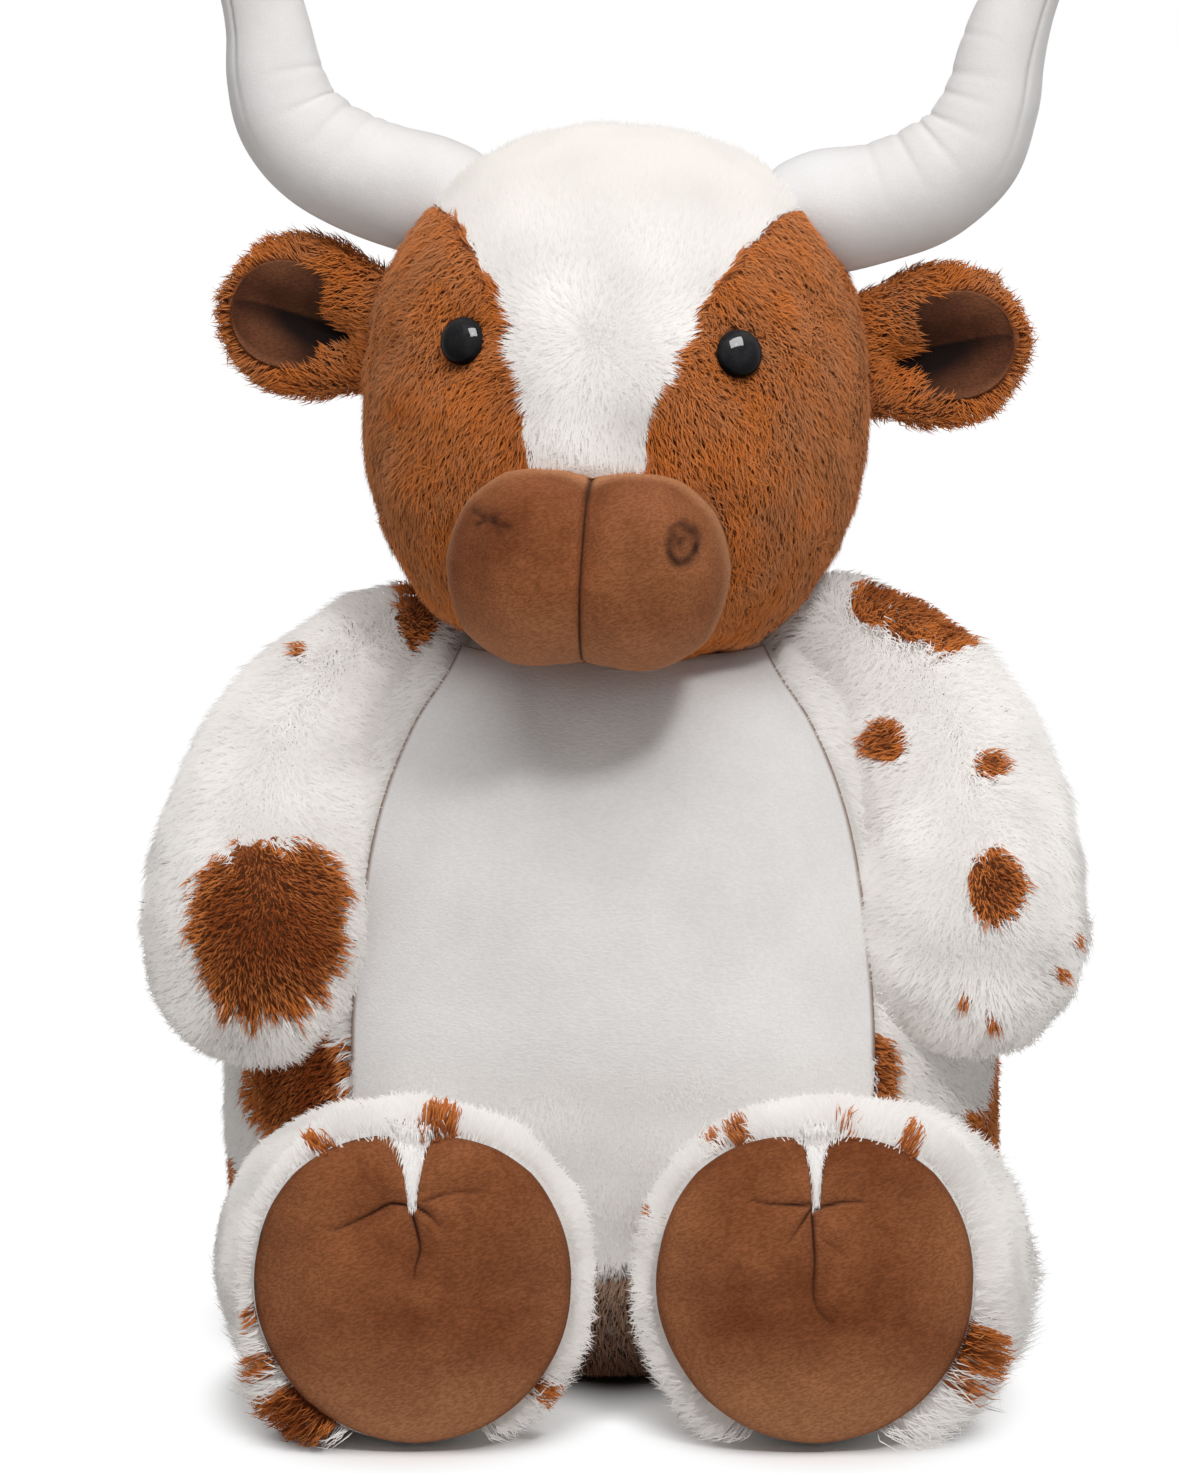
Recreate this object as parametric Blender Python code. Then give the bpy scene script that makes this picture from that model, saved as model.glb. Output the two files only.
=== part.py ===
"""Seated plush longhorn cow with sewn skins over stuffed forms.

Metres, +Z up, the toy sits on Z = 0 and faces -Y. Left and right are the toy's
own, so its left side is +X. The head is built about its own middle and then
turned and tipped as the toy holds it.
"""

import math

import bmesh
import bpy
from mathutils import Matrix, Vector

# Sewing
FABRIC = 0.0018
SEAM_GAP = 0.0003
SEAT_CLEARANCE = 0.0005
SWING_CLEARANCE = 0.0012
PANEL_REACH = 0.300
TURNING_HOLE = 0.0055
SKIN_FULLNESS = 2.2

# Torso
TORSO_HEIGHT = 0.200
TORSO_WIDTH = 0.214
TORSO_DEPTH = 0.178
TORSO_LEAN = 0.016
TORSO_SIDES = 28
# height, width and depth, lean
TORSO_SHARES = (
    (0.00, 0.76, 0.00),
    (0.03, 0.87, 0.00),
    (0.08, 0.935, 0.00),
    (0.16, 0.98, 0.00),
    (0.28, 1.00, 0.02),
    (0.42, 0.985, 0.08),
    (0.56, 0.92, 0.20),
    (0.68, 0.845, 0.38),
    (0.79, 0.755, 0.58),
    (0.88, 0.655, 0.78),
    (0.95, 0.53, 0.92),
    (1.00, 0.36, 1.00),
)
BELLY_PANEL_WIDTH = 0.144
BELLY_PANEL_BOTTOM = 0.034
BELLY_PANEL_TOP = 0.194
BELLY_PANEL_BACK = 0.030
# height between bottom and top, width
BELLY_PANEL_SHARES = (
    (0.00, 0.45),
    (0.02, 0.66),
    (0.08, 0.85),
    (0.18, 0.965),
    (0.32, 1.00),
    (0.55, 0.975),
    (0.75, 0.90),
    (0.90, 0.77),
    (1.00, 0.62),
)
SEAT_PANEL_SHARE = 0.93
SEAT_PANEL_SIDES = 20

# Neck
NECK_RADIUS = 0.028
NECK_BOTTOM = 0.170
NECK_SIDES = 20
# radius, height
NECK_SHARES = (
    (0.00, 0.00),
    (0.62, 0.00),
    (0.88, 0.06),
    (1.00, 0.26),
    (1.00, 1.00),
)

# Head
HEAD_X = 0.001
HEAD_Y = -0.030
HEAD_Z = 0.2655
HEAD_WIDTH = 0.134
HEAD_DEPTH = 0.131
HEAD_HEIGHT = 0.147
HEAD_TURN_DEG = -5.5
HEAD_TIP_DEG = 2.2
HEAD_SIDES = 28
HEAD_ROWS = 12
NOD_DROP = 0.004
NOD_REACH_DEG = 40.0
CROWN_WIDTH = 0.090
# height from the head's middle as a share of half the head's height, width
CROWN_SHARES = (
    (-0.37, 0.10),
    (-0.33, 0.32),
    (-0.15, 0.34),
    (0.00, 0.40),
    (0.20, 0.50),
    (0.42, 0.61),
    (0.58, 0.74),
    (0.70, 0.95),
    (0.85, 1.00),
    (1.20, 1.00),
)

# Muzzle
MUZZLE_WIDTH = 0.0775
MUZZLE_HEIGHT = 0.0525
MUZZLE_DEPTH = 0.056
MUZZLE_DROP = 0.0375
MUZZLE_FORWARD = 0.0625
MUZZLE_LOBE_SPREAD = 0.0315
MUZZLE_FULLNESS = 2.5
MUZZLE_SIDES = 14
MUZZLE_ROWS = 7

# Eyes
EYE_DIAMETER = 0.0130
EYE_DOME = 0.0046
EYE_SPREAD = 0.0740
EYE_RISE = 0.0197
EYE_SHANK_DIAMETER = 0.0040
EYE_SHANK_LENGTH = 0.0120
EYE_SIDES = 14
WASHER_DIAMETER = 0.0150
WASHER_THICKNESS = 0.0012
# radius, height of the dome
EYE_DOME_SHARES = ((1.00, 0.00), (1.00, 0.16), (0.90, 0.52), (0.66, 0.80), (0.34, 0.96), (0.00, 1.00))

# Ears
EAR_OUT = 0.0688
EAR_RISE = 0.0162
EAR_BACK = 0.0060
EAR_TILT_DEG = 10.0
EAR_LENGTH = 0.0405
EAR_HEIGHT = 0.0360
EAR_THICKNESS = 0.0100
EAR_ROOT_RADIUS = 0.0055
EAR_ROOT_LENGTH = 0.0270
EAR_SIDES = 10
EAR_ROOT_SIDES = 12
# length, height, thickness
EAR_SHARES = (
    (-0.05, 0.72, 0.70),
    (0.14, 0.82, 0.84),
    (0.36, 0.98, 0.92),
    (0.56, 1.00, 0.90),
    (0.76, 0.84, 0.76),
    (0.90, 0.54, 0.56),
    (0.975, 0.24, 0.36),
    (1.00, 0.00, 0.00),
)
EAR_CUP_LENGTH = 0.0270
EAR_CUP_HEIGHT = 0.0250
EAR_CUP_DEPTH = 0.0110
EAR_CUP_OUT_SHARE = 0.54
EAR_CUP_FORWARD_SHARE = 0.46
EAR_CUP_ROWS = 6
EAR_FLAP_ROOM = 0.0015
LINING = 0.0012

# Horns
HORN_RADIUS = 0.0167
HORN_OUT = 0.0522
HORN_RISE = 0.0547
HORN_BACK = 0.0060
HORN_REACH = 0.0740
HORN_HEIGHT = 0.0920
HORN_SIDES = 12
# out, up, radius
HORN_SHARES = (
    (0.00, 0.000, 1.00),
    (0.22, 0.038, 1.00),
    (0.44, 0.118, 0.96),
    (0.57, 0.212, 0.90),
    (0.635, 0.345, 0.81),
    (0.67, 0.485, 0.72),
    (0.72, 0.630, 0.645),
    (0.80, 0.785, 0.53),
    (0.89, 0.910, 0.37),
    (0.96, 0.975, 0.20),
    (1.00, 1.000, 0.00),
)

# Arms
ARM_RADIUS = 0.0275
SHOULDER_RADIUS = 0.0180
SHOULDER_Y = -0.0120
# the left shoulder is held higher and further out than the right: across, up, and how far the arm hangs out from it
LEFT_SHOULDER = (0.0620, 0.1940, 0.0368)
RIGHT_SHOULDER = (0.0575, 0.1915, 0.0400)
ARM_DROP = 0.1015
ARM_FORWARD = 0.0480
ARM_SIDES = 16
# down, out, forward, radius
ARM_SHARES = (
    (0.08, 0.32, 0.10, 0.745),
    (0.23, 0.66, 0.30, 0.875),
    (0.41, 0.88, 0.54, 0.955),
    (0.61, 1.00, 0.78, 1.00),
    (0.79, 1.00, 0.92, 0.96),
    (0.91, 0.97, 0.98, 0.745),
    (0.975, 0.95, 1.00, 0.43),
    (1.00, 0.94, 1.00, 0.00),
)

# Legs
FOOT_RADIUS = 0.0425
HIP_RADIUS = 0.0360
HIP_X = 0.0700
HIP_Y = -0.0840
HIP_Z = 0.0375
LEG_LENGTH = 0.0745
LEG_TOE_IN = 0.0172
LEG_RISE = 0.0056
LEG_SIDES = 16
# along, in, up, radius
LEG_SHARES = (
    (0.22, 0.36, 0.22, 0.865),
    (0.43, 0.64, 0.50, 0.91),
    (0.61, 0.83, 0.76, 0.97),
    (0.75, 0.94, 0.93, 1.00),
    (0.86, 0.985, 1.00, 0.995),
    (0.925, 1.00, 1.00, 0.95),
    (0.970, 1.00, 0.97, 0.79),
    (0.993, 1.00, 0.95, 0.45),
    (1.00, 1.00, 0.95, 0.00),
)
HOOF_SEAM_SHARE = 0.905
CLEFT_WIDTH = 0.0060
CLEFT_DEPTH = 0.0150

# Tail
TAIL_RADIUS = 0.0055
TAIL_ROOT_RADIUS = 0.0065
TAIL_Y = 0.0925
TAIL_Z = 0.0560
TAIL_DROP = 0.0330
TAIL_BACK = 0.0130
TUFT_RADIUS = 0.0090
TUFT_LENGTH = 0.0200
TAIL_SIDES = 12
TUFT_LAP_SHARE = 0.30
# back, down
TAIL_BEND_SHARES = (0.55, 0.42)
# along, radius
TUFT_SHARES = ((0.00, 0.30), (0.12, 0.66), (0.35, 1.00), (0.62, 0.92), (0.85, 0.55), (1.00, 0.00))

# Rounded root of a limb
ROOT_SIDES = 12
LEG_ROOT_SIDES = 16
# how far behind its middle, radius
ROOT_SHARES = ((1.00, 0.00), (0.87, 0.50), (0.50, 0.87))
TOY_SIDES = {"left": 1, "right": -1}
# first corner of a ring as a share of the step between corners, so that none lies in the middle plane
RING_START_SHARE = 0.5
AHEAD = Vector((0, -1, 0))
ACROSS = Vector((1, 0, 0))
DEEP = Vector((0, 1, 0))
UP = Vector((0, 0, 1))


# Scene and materials
def clear_objects():
    for old in list(bpy.data.objects):
        bpy.data.objects.remove(old, do_unlink=True)


def cloth(name, colour, roughness):
    made = bpy.data.materials.new(name)
    made.use_nodes = True
    shader = made.node_tree.nodes["Principled BSDF"]
    shader.inputs["Base Color"].default_value = (*colour, 1)
    shader.inputs["Roughness"].default_value = roughness
    shader.inputs["Metallic"].default_value = 0
    made.diffuse_color = (*colour, 1)
    return made


def frame_empty(name, place, parent=None):
    empty = bpy.data.objects.new(name, None)
    empty.location = place
    empty.parent = parent
    bpy.context.collection.objects.link(empty)
    return empty


# Forms
def closed_form(name, rings):
    """Mesh through rings of points; a ring of one point is a pole, and an end ring is closed flat."""
    bm = bmesh.new()
    rows = [[bm.verts.new(point) for point in ring] for ring in rings]
    for lower, upper in zip(rows, rows[1:]):
        count = max(len(lower), len(upper))
        for i in range(count):
            corners = [lower[i % len(lower)], lower[(i + 1) % len(lower)]]
            corners += [upper[(i + 1) % len(upper)], upper[i % len(upper)]]
            bm.faces.new(list(dict.fromkeys(corners)))
    for row in (rows[0], rows[-1]):
        if len(row) > 1:
            bm.faces.new(row)
    bm.normal_update()
    bmesh.ops.triangulate(bm, faces=bm.faces)
    bmesh.ops.recalc_face_normals(bm, faces=bm.faces)
    mesh = bpy.data.meshes.new(name)
    bm.to_mesh(mesh)
    bm.free()
    form = bpy.data.objects.new(name, mesh)
    bpy.context.collection.objects.link(form)
    return form


def oval(centre, across, deep, half_width, half_depth, fullness, sides):
    """Ring of points on a full-sided oval, or its middle where it has no width."""
    if half_width <= 0:
        return [centre]
    points = []
    for i in range(sides):
        turn = 2 * math.pi * (i + RING_START_SHARE) / sides
        wide = math.copysign(abs(math.cos(turn)) ** (2 / fullness), math.cos(turn))
        far = math.copysign(abs(math.sin(turn)) ** (2 / fullness), math.sin(turn))
        points.append(centre + across * half_width * wide + deep * half_depth * far)
    return points


def egg(name, centre, half_width, half_depth, half_height, fullness, sides, rows):
    """Closed round form about an upright axis."""
    rings = []
    for row in range(rows + 1):
        climb = math.pi * (row / rows - 0.5)
        high = math.copysign(abs(math.sin(climb)) ** (2 / fullness), math.sin(climb))
        wide_share = 0 if row in (0, rows) else math.cos(climb) ** (2 / fullness)
        middle = centre + UP * half_height * high
        width, depth = half_width * wide_share, half_depth * wide_share
        rings.append(oval(middle, ACROSS, DEEP, width, depth, fullness, sides))
    return closed_form(name, rings)


def swept(name, stations, deep_axis, fullness, sides):
    """Closed form along a route of (middle, half width, half depth)."""
    middles = [station[0] for station in stations]
    last = len(middles) - 1
    rings = []
    for i, (middle, half_width, half_depth) in enumerate(stations):
        along = (middles[min(i + 1, last)] - middles[max(i - 1, 0)]).normalized()
        across = along.cross(deep_axis).normalized()
        deep = across.cross(along)
        rings.append(oval(middle, across, deep, half_width, half_depth, fullness, sides))
    return closed_form(name, rings)


def turned(name, profile, origin, axis, sides):
    """Closed form turned about an axis from (radius, distance along) points."""
    across = axis.orthogonal().normalized()
    deep = axis.cross(across)
    rings = [oval(origin + axis * along, across, deep, radius, radius, 2, sides) for radius, along in profile]
    return closed_form(name, rings)


def rod(name, start, axis, radius, length, sides):
    return turned(name, [(radius, 0), (radius, length)], start, axis, sides)


def upright_sheet(name, outline, y_from, y_to):
    """Flat outline of (x, z) points drawn out along Y."""
    rings = [[Vector((x, y, z)) for x, z in outline] for y in (y_from, y_to)]
    return closed_form(name, rings)


def grown(form, distance):
    """Copy of a form with its surface moved out evenly, or in where the distance is below zero."""
    bm = bmesh.new()
    bm.from_mesh(form.data)
    bm.normal_update()
    moves = [vert.normal * distance * vert.calc_shell_factor() for vert in bm.verts]
    for vert, move in zip(bm.verts, moves):
        vert.co += move
    mesh = bpy.data.meshes.new(form.name)
    bm.to_mesh(mesh)
    bm.free()
    made = bpy.data.objects.new(form.name, mesh)
    bpy.context.collection.objects.link(made)
    return made


def discard(*forms):
    for form in forms:
        bpy.data.objects.remove(form, do_unlink=True)


def combine(form, operation, others, solver):
    """Apply one kind of Boolean with each of the other forms."""
    for other in others:
        step = form.modifiers.new(operation.lower(), "BOOLEAN")
        step.operation = operation
        step.solver = solver
        step.object = other
    bpy.context.view_layer.update()
    evaluated = form.evaluated_get(bpy.context.evaluated_depsgraph_get())
    mesh = bpy.data.meshes.new_from_object(evaluated)
    form.modifiers.clear()
    form.data = mesh
    return form


def less(form, *others, solver="EXACT"):
    return combine(form, "DIFFERENCE", others, solver)


def within(form, *others, solver="EXACT"):
    return combine(form, "INTERSECT", others, solver)


def together(form, *others, solver="EXACT"):
    return combine(form, "UNION", others, solver)


def copied(form):
    return grown(form, 0)


def dish_radius(radius, clearance, sides):
    """Radius of a many-sided ball that clears a turning root of the given radius."""
    return (radius + clearance) / math.cos(math.pi / sides) ** 2


def ball(name, centre, radius, sides):
    return egg(name, centre, radius, radius, radius, 2, sides, sides // 2)


def seated(form, name, material, pivot, parent=None, carried_at=Vector()):
    """Name a finished form, colour it, and put its origin on its pivot under its parent."""
    form.name = name
    form.data.name = name
    form.data.transform(Matrix.Translation(-pivot))
    form.location = pivot - carried_at
    form.parent = parent
    form.data.materials.clear()
    form.data.materials.append(material)
    for face in form.data.polygons:
        face.use_smooth = True
        face.material_index = 0
    return form


# Seats of the turning roots
def dish(centre, radius, clearance, sides):
    return ball("dish", centre, dish_radius(radius, clearance, sides), sides)


def pressed(form, body, centre, radius, sides, inset):
    """Flatten a limb against the body that carries it, and leave its round root whole."""
    carrier = grown(body, SEAM_GAP + inset)
    root = dish(centre, radius - inset, SEAT_CLEARANCE / 2, sides)
    less(carrier, root)
    less(form, carrier)
    discard(carrier, root)
    return form


def rounded_root(centre, along, radius):
    return [(centre - along * radius * back_share, radius * size_share) for back_share, size_share in ROOT_SHARES]


def skin_and_stuffing(make_form, sides, body, centre, radius, root_sides):
    """Sewn skin and the stuffing in it, for a limb whose root turns in its carrier."""
    skin = pressed(make_form(sides), body, centre, radius, root_sides, 0)
    coarse = make_form(sides // 2)
    hollow = pressed(grown(coarse, -FABRIC), body, centre, radius, root_sides, FABRIC)
    less(skin, hollow)
    inset = FABRIC + SEAM_GAP
    stuffing = pressed(grown(coarse, -inset), body, centre, radius, root_sides, inset)
    discard(coarse, hollow)
    return skin, stuffing


def open_root(skin, centre, along, radius):
    """Cut the hole that a limb is turned and stuffed through, on the hidden end of its root."""
    hole = rod("hole", centre - along * (radius + FABRIC), along, TURNING_HOLE, radius, ROOT_SIDES)
    less(skin, hole)
    discard(hole)


# Torso
def torso_form(sides):
    rings = []
    for height_share, size_share, lean_share in TORSO_SHARES:
        middle = Vector((0, -TORSO_LEAN * lean_share, TORSO_HEIGHT * height_share))
        width, depth = TORSO_WIDTH / 2 * size_share, TORSO_DEPTH / 2 * size_share
        rings.append(oval(middle, ACROSS, DEEP, width, depth, SKIN_FULLNESS, sides))
    return closed_form("torso", rings)


def mirrored_outline(points):
    return points + [(-x, z) for x, z in reversed(points)]


def belly_sheet():
    tall = BELLY_PANEL_TOP - BELLY_PANEL_BOTTOM
    edge = [
        (BELLY_PANEL_WIDTH / 2 * width_share, BELLY_PANEL_BOTTOM + tall * height_share)
        for height_share, width_share in BELLY_PANEL_SHARES
    ]
    return upright_sheet("belly", mirrored_outline(edge), -PANEL_REACH, -BELLY_PANEL_BACK)


def seat_plug():
    base_share = TORSO_SHARES[0][1] * SEAT_PANEL_SHARE
    width, depth = TORSO_WIDTH / 2 * base_share, TORSO_DEPTH / 2 * base_share
    middles = (-UP * FABRIC, UP * (FABRIC + SEAM_GAP))
    rings = [oval(middle, ACROSS, DEEP, width, depth, SKIN_FULLNESS, SEAT_PANEL_SIDES) for middle in middles]
    return closed_form("seat", rings)


def build_torso(body, seats, white, belly_white, filling):
    coarse = torso_form(TORSO_SIDES // 2)
    hollow = grown(coarse, -FABRIC)
    stuffing = less(grown(coarse, -(FABRIC + SEAM_GAP)), *seats)
    skin = less(copied(body), hollow)
    belly, seat = belly_sheet(), seat_plug()
    belly_panel = less(within(copied(skin), belly), *seats)
    seat_panel = within(copied(skin), seat)
    belly_hole, seat_hole = grown(belly, SEAM_GAP), grown(seat, SEAM_GAP)
    less(skin, belly_hole, seat_hole, *seats)
    discard(coarse, hollow, belly, seat, belly_hole, seat_hole)
    base = Vector()
    seated(skin, "torso_skin", white, base)
    seated(belly_panel, "belly_panel", belly_white, base)
    seated(seat_panel, "seat_panel", white, base)
    seated(stuffing, "torso_stuffing", filling, base)


# Neck
def head_place():
    return Vector((HEAD_X, HEAD_Y, HEAD_Z))


def nod_pivot():
    return head_place() - UP * NOD_DROP


def cap_reach(head):
    """Greatest distance from the nodding axis to the underside of the head that rests in the neck."""
    pivot = -UP * NOD_DROP
    spokes = [vert.co - pivot for vert in head.data.vertices]
    return max(spoke.length for spoke in spokes if spoke.angle(-UP) < math.radians(NOD_REACH_DEG))


def neck_form(rim_height, sides):
    origin = Vector((HEAD_X, HEAD_Y, NECK_BOTTOM))
    profile = [(NECK_RADIUS * radius_share, rim_height * height_share) for radius_share, height_share in NECK_SHARES]
    return turned("neck", profile, origin, UP, sides)


def neck_rim_height(dish_size):
    rim = nod_pivot().z - math.sqrt(dish_size ** 2 - NECK_RADIUS ** 2)
    return rim - NECK_BOTTOM


def build_neck(neck, head_dish, axis, white, filling):
    hollow = grown(neck, -FABRIC)
    stuffing = less(grown(neck, -(FABRIC + SEAM_GAP)), head_dish)
    skin = less(neck, hollow, head_dish)
    discard(hollow)
    place = axis.location.copy()
    seated(skin, "neck_skin", white, place, axis, place)
    seated(stuffing, "neck_stuffing", filling, place, axis, place)


# Head
def head_form(sides):
    width, depth, height = HEAD_WIDTH / 2, HEAD_DEPTH / 2, HEAD_HEIGHT / 2
    return egg("head", Vector(), width, depth, height, SKIN_FULLNESS, sides, HEAD_ROWS)


def on_head(x, z):
    """Point of the face at a place across and up, and the direction square to it."""
    width, depth, height = HEAD_WIDTH / 2, HEAD_DEPTH / 2, HEAD_HEIGHT / 2
    left_over = 1 - abs(x / width) ** SKIN_FULLNESS - abs(z / height) ** SKIN_FULLNESS
    y = -depth * left_over ** (1 / SKIN_FULLNESS)
    bends = [
        math.copysign(abs(place / size) ** (SKIN_FULLNESS - 1) / size, place)
        for place, size in ((x, width), (y, depth), (z, height))
    ]
    return Vector((x, y, z)), Vector(bends).normalized()


def crown_sheet():
    edge = [
        (CROWN_WIDTH / 2 * width_share, HEAD_HEIGHT / 2 * height_share)
        for height_share, width_share in CROWN_SHARES
    ]
    return upright_sheet("crown", mirrored_outline(edge), -PANEL_REACH, PANEL_REACH)


def eye_place(side):
    return on_head(side * EYE_SPREAD / 2, EYE_RISE)


def eye_pocket(side):
    """Room under the skin for the shank and its washer."""
    point, out = eye_place(side)
    start = point - out * FABRIC
    room = WASHER_DIAMETER / 2 + SEAM_GAP
    wide = rod("pocket", start, -out, room, WASHER_THICKNESS + SEAM_GAP * 2, EYE_SIDES)
    shank_room = EYE_SHANK_DIAMETER / 2 + SEAM_GAP
    deep = rod("pocket", point + out * FABRIC, -out, shank_room, EYE_SHANK_LENGTH + FABRIC * 2, EYE_SIDES)
    pocket = together(wide, deep)
    discard(deep)
    return pocket


def build_head(head, roots, frame, rust, white, filling):
    coarse = head_form(HEAD_SIDES // 2)
    hollow = grown(coarse, -FABRIC)
    pockets = [eye_pocket(side) for side in TOY_SIDES.values()]
    stuffing = less(grown(coarse, -(FABRIC + SEAM_GAP)), *roots, *pockets)
    skin = less(copied(head), hollow)
    crown = crown_sheet()
    crown_panel = less(within(copied(skin), crown), *roots)
    opening = grown(crown, SEAM_GAP)
    less(skin, opening, *roots, *pockets)
    discard(coarse, hollow, crown, opening, *pockets)
    middle = Vector()
    seated(skin, "head_skin", rust, middle, frame)
    seated(crown_panel, "crown_panel", white, middle, frame)
    seated(stuffing, "head_stuffing", filling, middle, frame)


# Muzzle
def muzzle_form(inset):
    """Two puffed lobes side by side, drawn in by the inset."""
    width = (MUZZLE_WIDTH - MUZZLE_LOBE_SPREAD) / 2
    lobes = []
    for side in TOY_SIDES.values():
        middle = Vector((side * MUZZLE_LOBE_SPREAD / 2, -MUZZLE_FORWARD, -MUZZLE_DROP))
        size = (width, MUZZLE_DEPTH / 2, MUZZLE_HEIGHT / 2)
        lobe = egg("lobe", middle, *size, MUZZLE_FULLNESS, MUZZLE_SIDES, MUZZLE_ROWS)
        lobes.append(grown(lobe, -inset))
        discard(lobe)
    muzzle = together(*lobes, solver="MANIFOLD")
    discard(lobes[1])
    return muzzle


def build_muzzle(head, frame, suede, filling):
    face = grown(head, SEAM_GAP)
    hollow = muzzle_form(FABRIC)
    skin = less(muzzle_form(0), hollow, face, solver="MANIFOLD")
    stuffing = less(muzzle_form(FABRIC + SEAM_GAP), face, solver="MANIFOLD")
    discard(face, hollow)
    place = Vector((0, -MUZZLE_FORWARD, -MUZZLE_DROP))
    seated(skin, "muzzle_skin", suede, place, frame)
    seated(stuffing, "muzzle_stuffing", filling, place, frame)


# Eyes
def build_eye(word, side, frame, black, nylon):
    point, out = eye_place(side)
    base = point + out * SEAM_GAP
    profile = [(EYE_SHANK_DIAMETER / 2, -EYE_SHANK_LENGTH), (EYE_SHANK_DIAMETER / 2, 0)]
    profile += [(EYE_DIAMETER / 2 * radius_share, EYE_DOME * high_share) for radius_share, high_share in EYE_DOME_SHARES]
    eye = turned("eye", profile, base, out, EYE_SIDES)
    washer_top = point - out * (FABRIC + SEAM_GAP)
    washer = rod("washer", washer_top, -out, WASHER_DIAMETER / 2, WASHER_THICKNESS, EYE_SIDES)
    bore = rod("bore", point, -out, EYE_SHANK_DIAMETER / 2 + SEAM_GAP, EYE_SHANK_LENGTH, EYE_SIDES)
    less(washer, bore)
    discard(bore)
    seated(eye, f"eye_{word}", black, point, frame)
    seated(washer, f"eye_washer_{word}", nylon, point, frame)


# Ears
def ear_place(side):
    return Vector((side * EAR_OUT, EAR_BACK, EAR_RISE))


def ear_directions(side):
    tilt = math.radians(EAR_TILT_DEG)
    out = Vector((side * math.cos(tilt), 0, math.sin(tilt)))
    return out, Vector((-side * math.sin(tilt), 0, math.cos(tilt)))


def ear_groove(side):
    out, up = ear_directions(side)
    half = EAR_ROOT_LENGTH / 2 + SEAT_CLEARANCE
    radius = (EAR_ROOT_RADIUS + SEAT_CLEARANCE) / math.cos(math.pi / EAR_ROOT_SIDES)
    return rod("groove", ear_place(side) - up * half, up, radius, half * 2, EAR_ROOT_SIDES)


def ear_cup(side):
    out, up = ear_directions(side)
    middle = ear_place(side) + out * EAR_LENGTH * EAR_CUP_OUT_SHARE
    middle += AHEAD * EAR_THICKNESS * EAR_CUP_FORWARD_SHARE
    stations = []
    for row in range(EAR_CUP_ROWS + 1):
        climb = math.pi * (row / EAR_CUP_ROWS - 0.5)
        size_share = 0 if row in (0, EAR_CUP_ROWS) else math.cos(climb)
        place = middle + out * EAR_CUP_LENGTH / 2 * math.sin(climb)
        stations.append((place, EAR_CUP_HEIGHT / 2 * size_share, EAR_CUP_DEPTH / 2 * size_share))
    return swept("cup", stations, DEEP, 2, EAR_SIDES)


def build_ear(word, side, head, frame, rust, lining_suede):
    place = ear_place(side)
    out, up = ear_directions(side)
    axis = frame_empty(f"ear_{word}_axis", place, frame)
    stations = [
        (place + out * EAR_LENGTH * along_share, EAR_HEIGHT / 2 * high_share, EAR_THICKNESS / 2 * thick_share)
        for along_share, high_share, thick_share in EAR_SHARES
    ]
    leaf = swept("leaf", stations, DEEP, 2, EAR_SIDES)
    skull = grown(head, EAR_FLAP_ROOM)
    less(leaf, skull)
    half = EAR_ROOT_LENGTH / 2
    root = rod("root", place - up * half, up, EAR_ROOT_RADIUS, EAR_ROOT_LENGTH, EAR_ROOT_SIDES)
    cup = ear_cup(side)
    lining = within(copied(cup), leaf, solver="MANIFOLD")
    inner = grown(cup, -LINING)
    less(lining, inner, solver="MANIFOLD")
    bed = grown(cup, SEAM_GAP)
    ear = less(together(leaf, root), bed)
    discard(skull, root, cup, inner, bed)
    seated(ear, f"ear_{word}", rust, place, axis, place)
    seated(lining, f"ear_{word}_lining", lining_suede, place, axis, place)


# Horns
def horn_place(side):
    return Vector((side * HORN_OUT, HORN_BACK, HORN_RISE))


def horn_route(side):
    return [
        (horn_place(side) + Vector((side * HORN_REACH * out_share, 0, HORN_HEIGHT * up_share)), HORN_RADIUS * size_share)
        for out_share, up_share, size_share in HORN_SHARES
    ]


def limb_form(name, route, radius, deep_axis, sides):
    """Round limb along a route of (middle, radius), with a rounded root behind its first point."""
    along = (route[1][0] - route[0][0]).normalized()
    stations = [(middle, size, size) for middle, size in rounded_root(route[0][0], along, radius) + route]
    return swept(name, stations, deep_axis, 2, sides)


def build_horn(word, side, head, frame, velour, filling):
    place = horn_place(side)
    axis = frame_empty(f"horn_{word}_axis", place, frame)
    route = horn_route(side)

    def make_form(sides):
        return limb_form("horn", route, HORN_RADIUS, DEEP, sides)

    skin, stuffing = skin_and_stuffing(make_form, HORN_SIDES, head, place, HORN_RADIUS, ROOT_SIDES)
    open_root(skin, place, (route[1][0] - place).normalized(), HORN_RADIUS)
    seated(skin, f"horn_{word}_skin", velour, place, axis, place)
    seated(stuffing, f"horn_{word}_stuffing", filling, place, axis, place)


# Arms
def shoulder_hold(side):
    return LEFT_SHOULDER if side > 0 else RIGHT_SHOULDER


def shoulder_place(side):
    across, up, _ = shoulder_hold(side)
    return Vector((side * across, SHOULDER_Y, up))


def arm_route(side):
    route = [(shoulder_place(side), SHOULDER_RADIUS)]
    spread = shoulder_hold(side)[2]
    for down_share, out_share, ahead_share, size_share in ARM_SHARES:
        step = Vector((side * spread * out_share, -ARM_FORWARD * ahead_share, -ARM_DROP * down_share))
        route.append((shoulder_place(side) + step, ARM_RADIUS * size_share))
    return route


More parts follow.
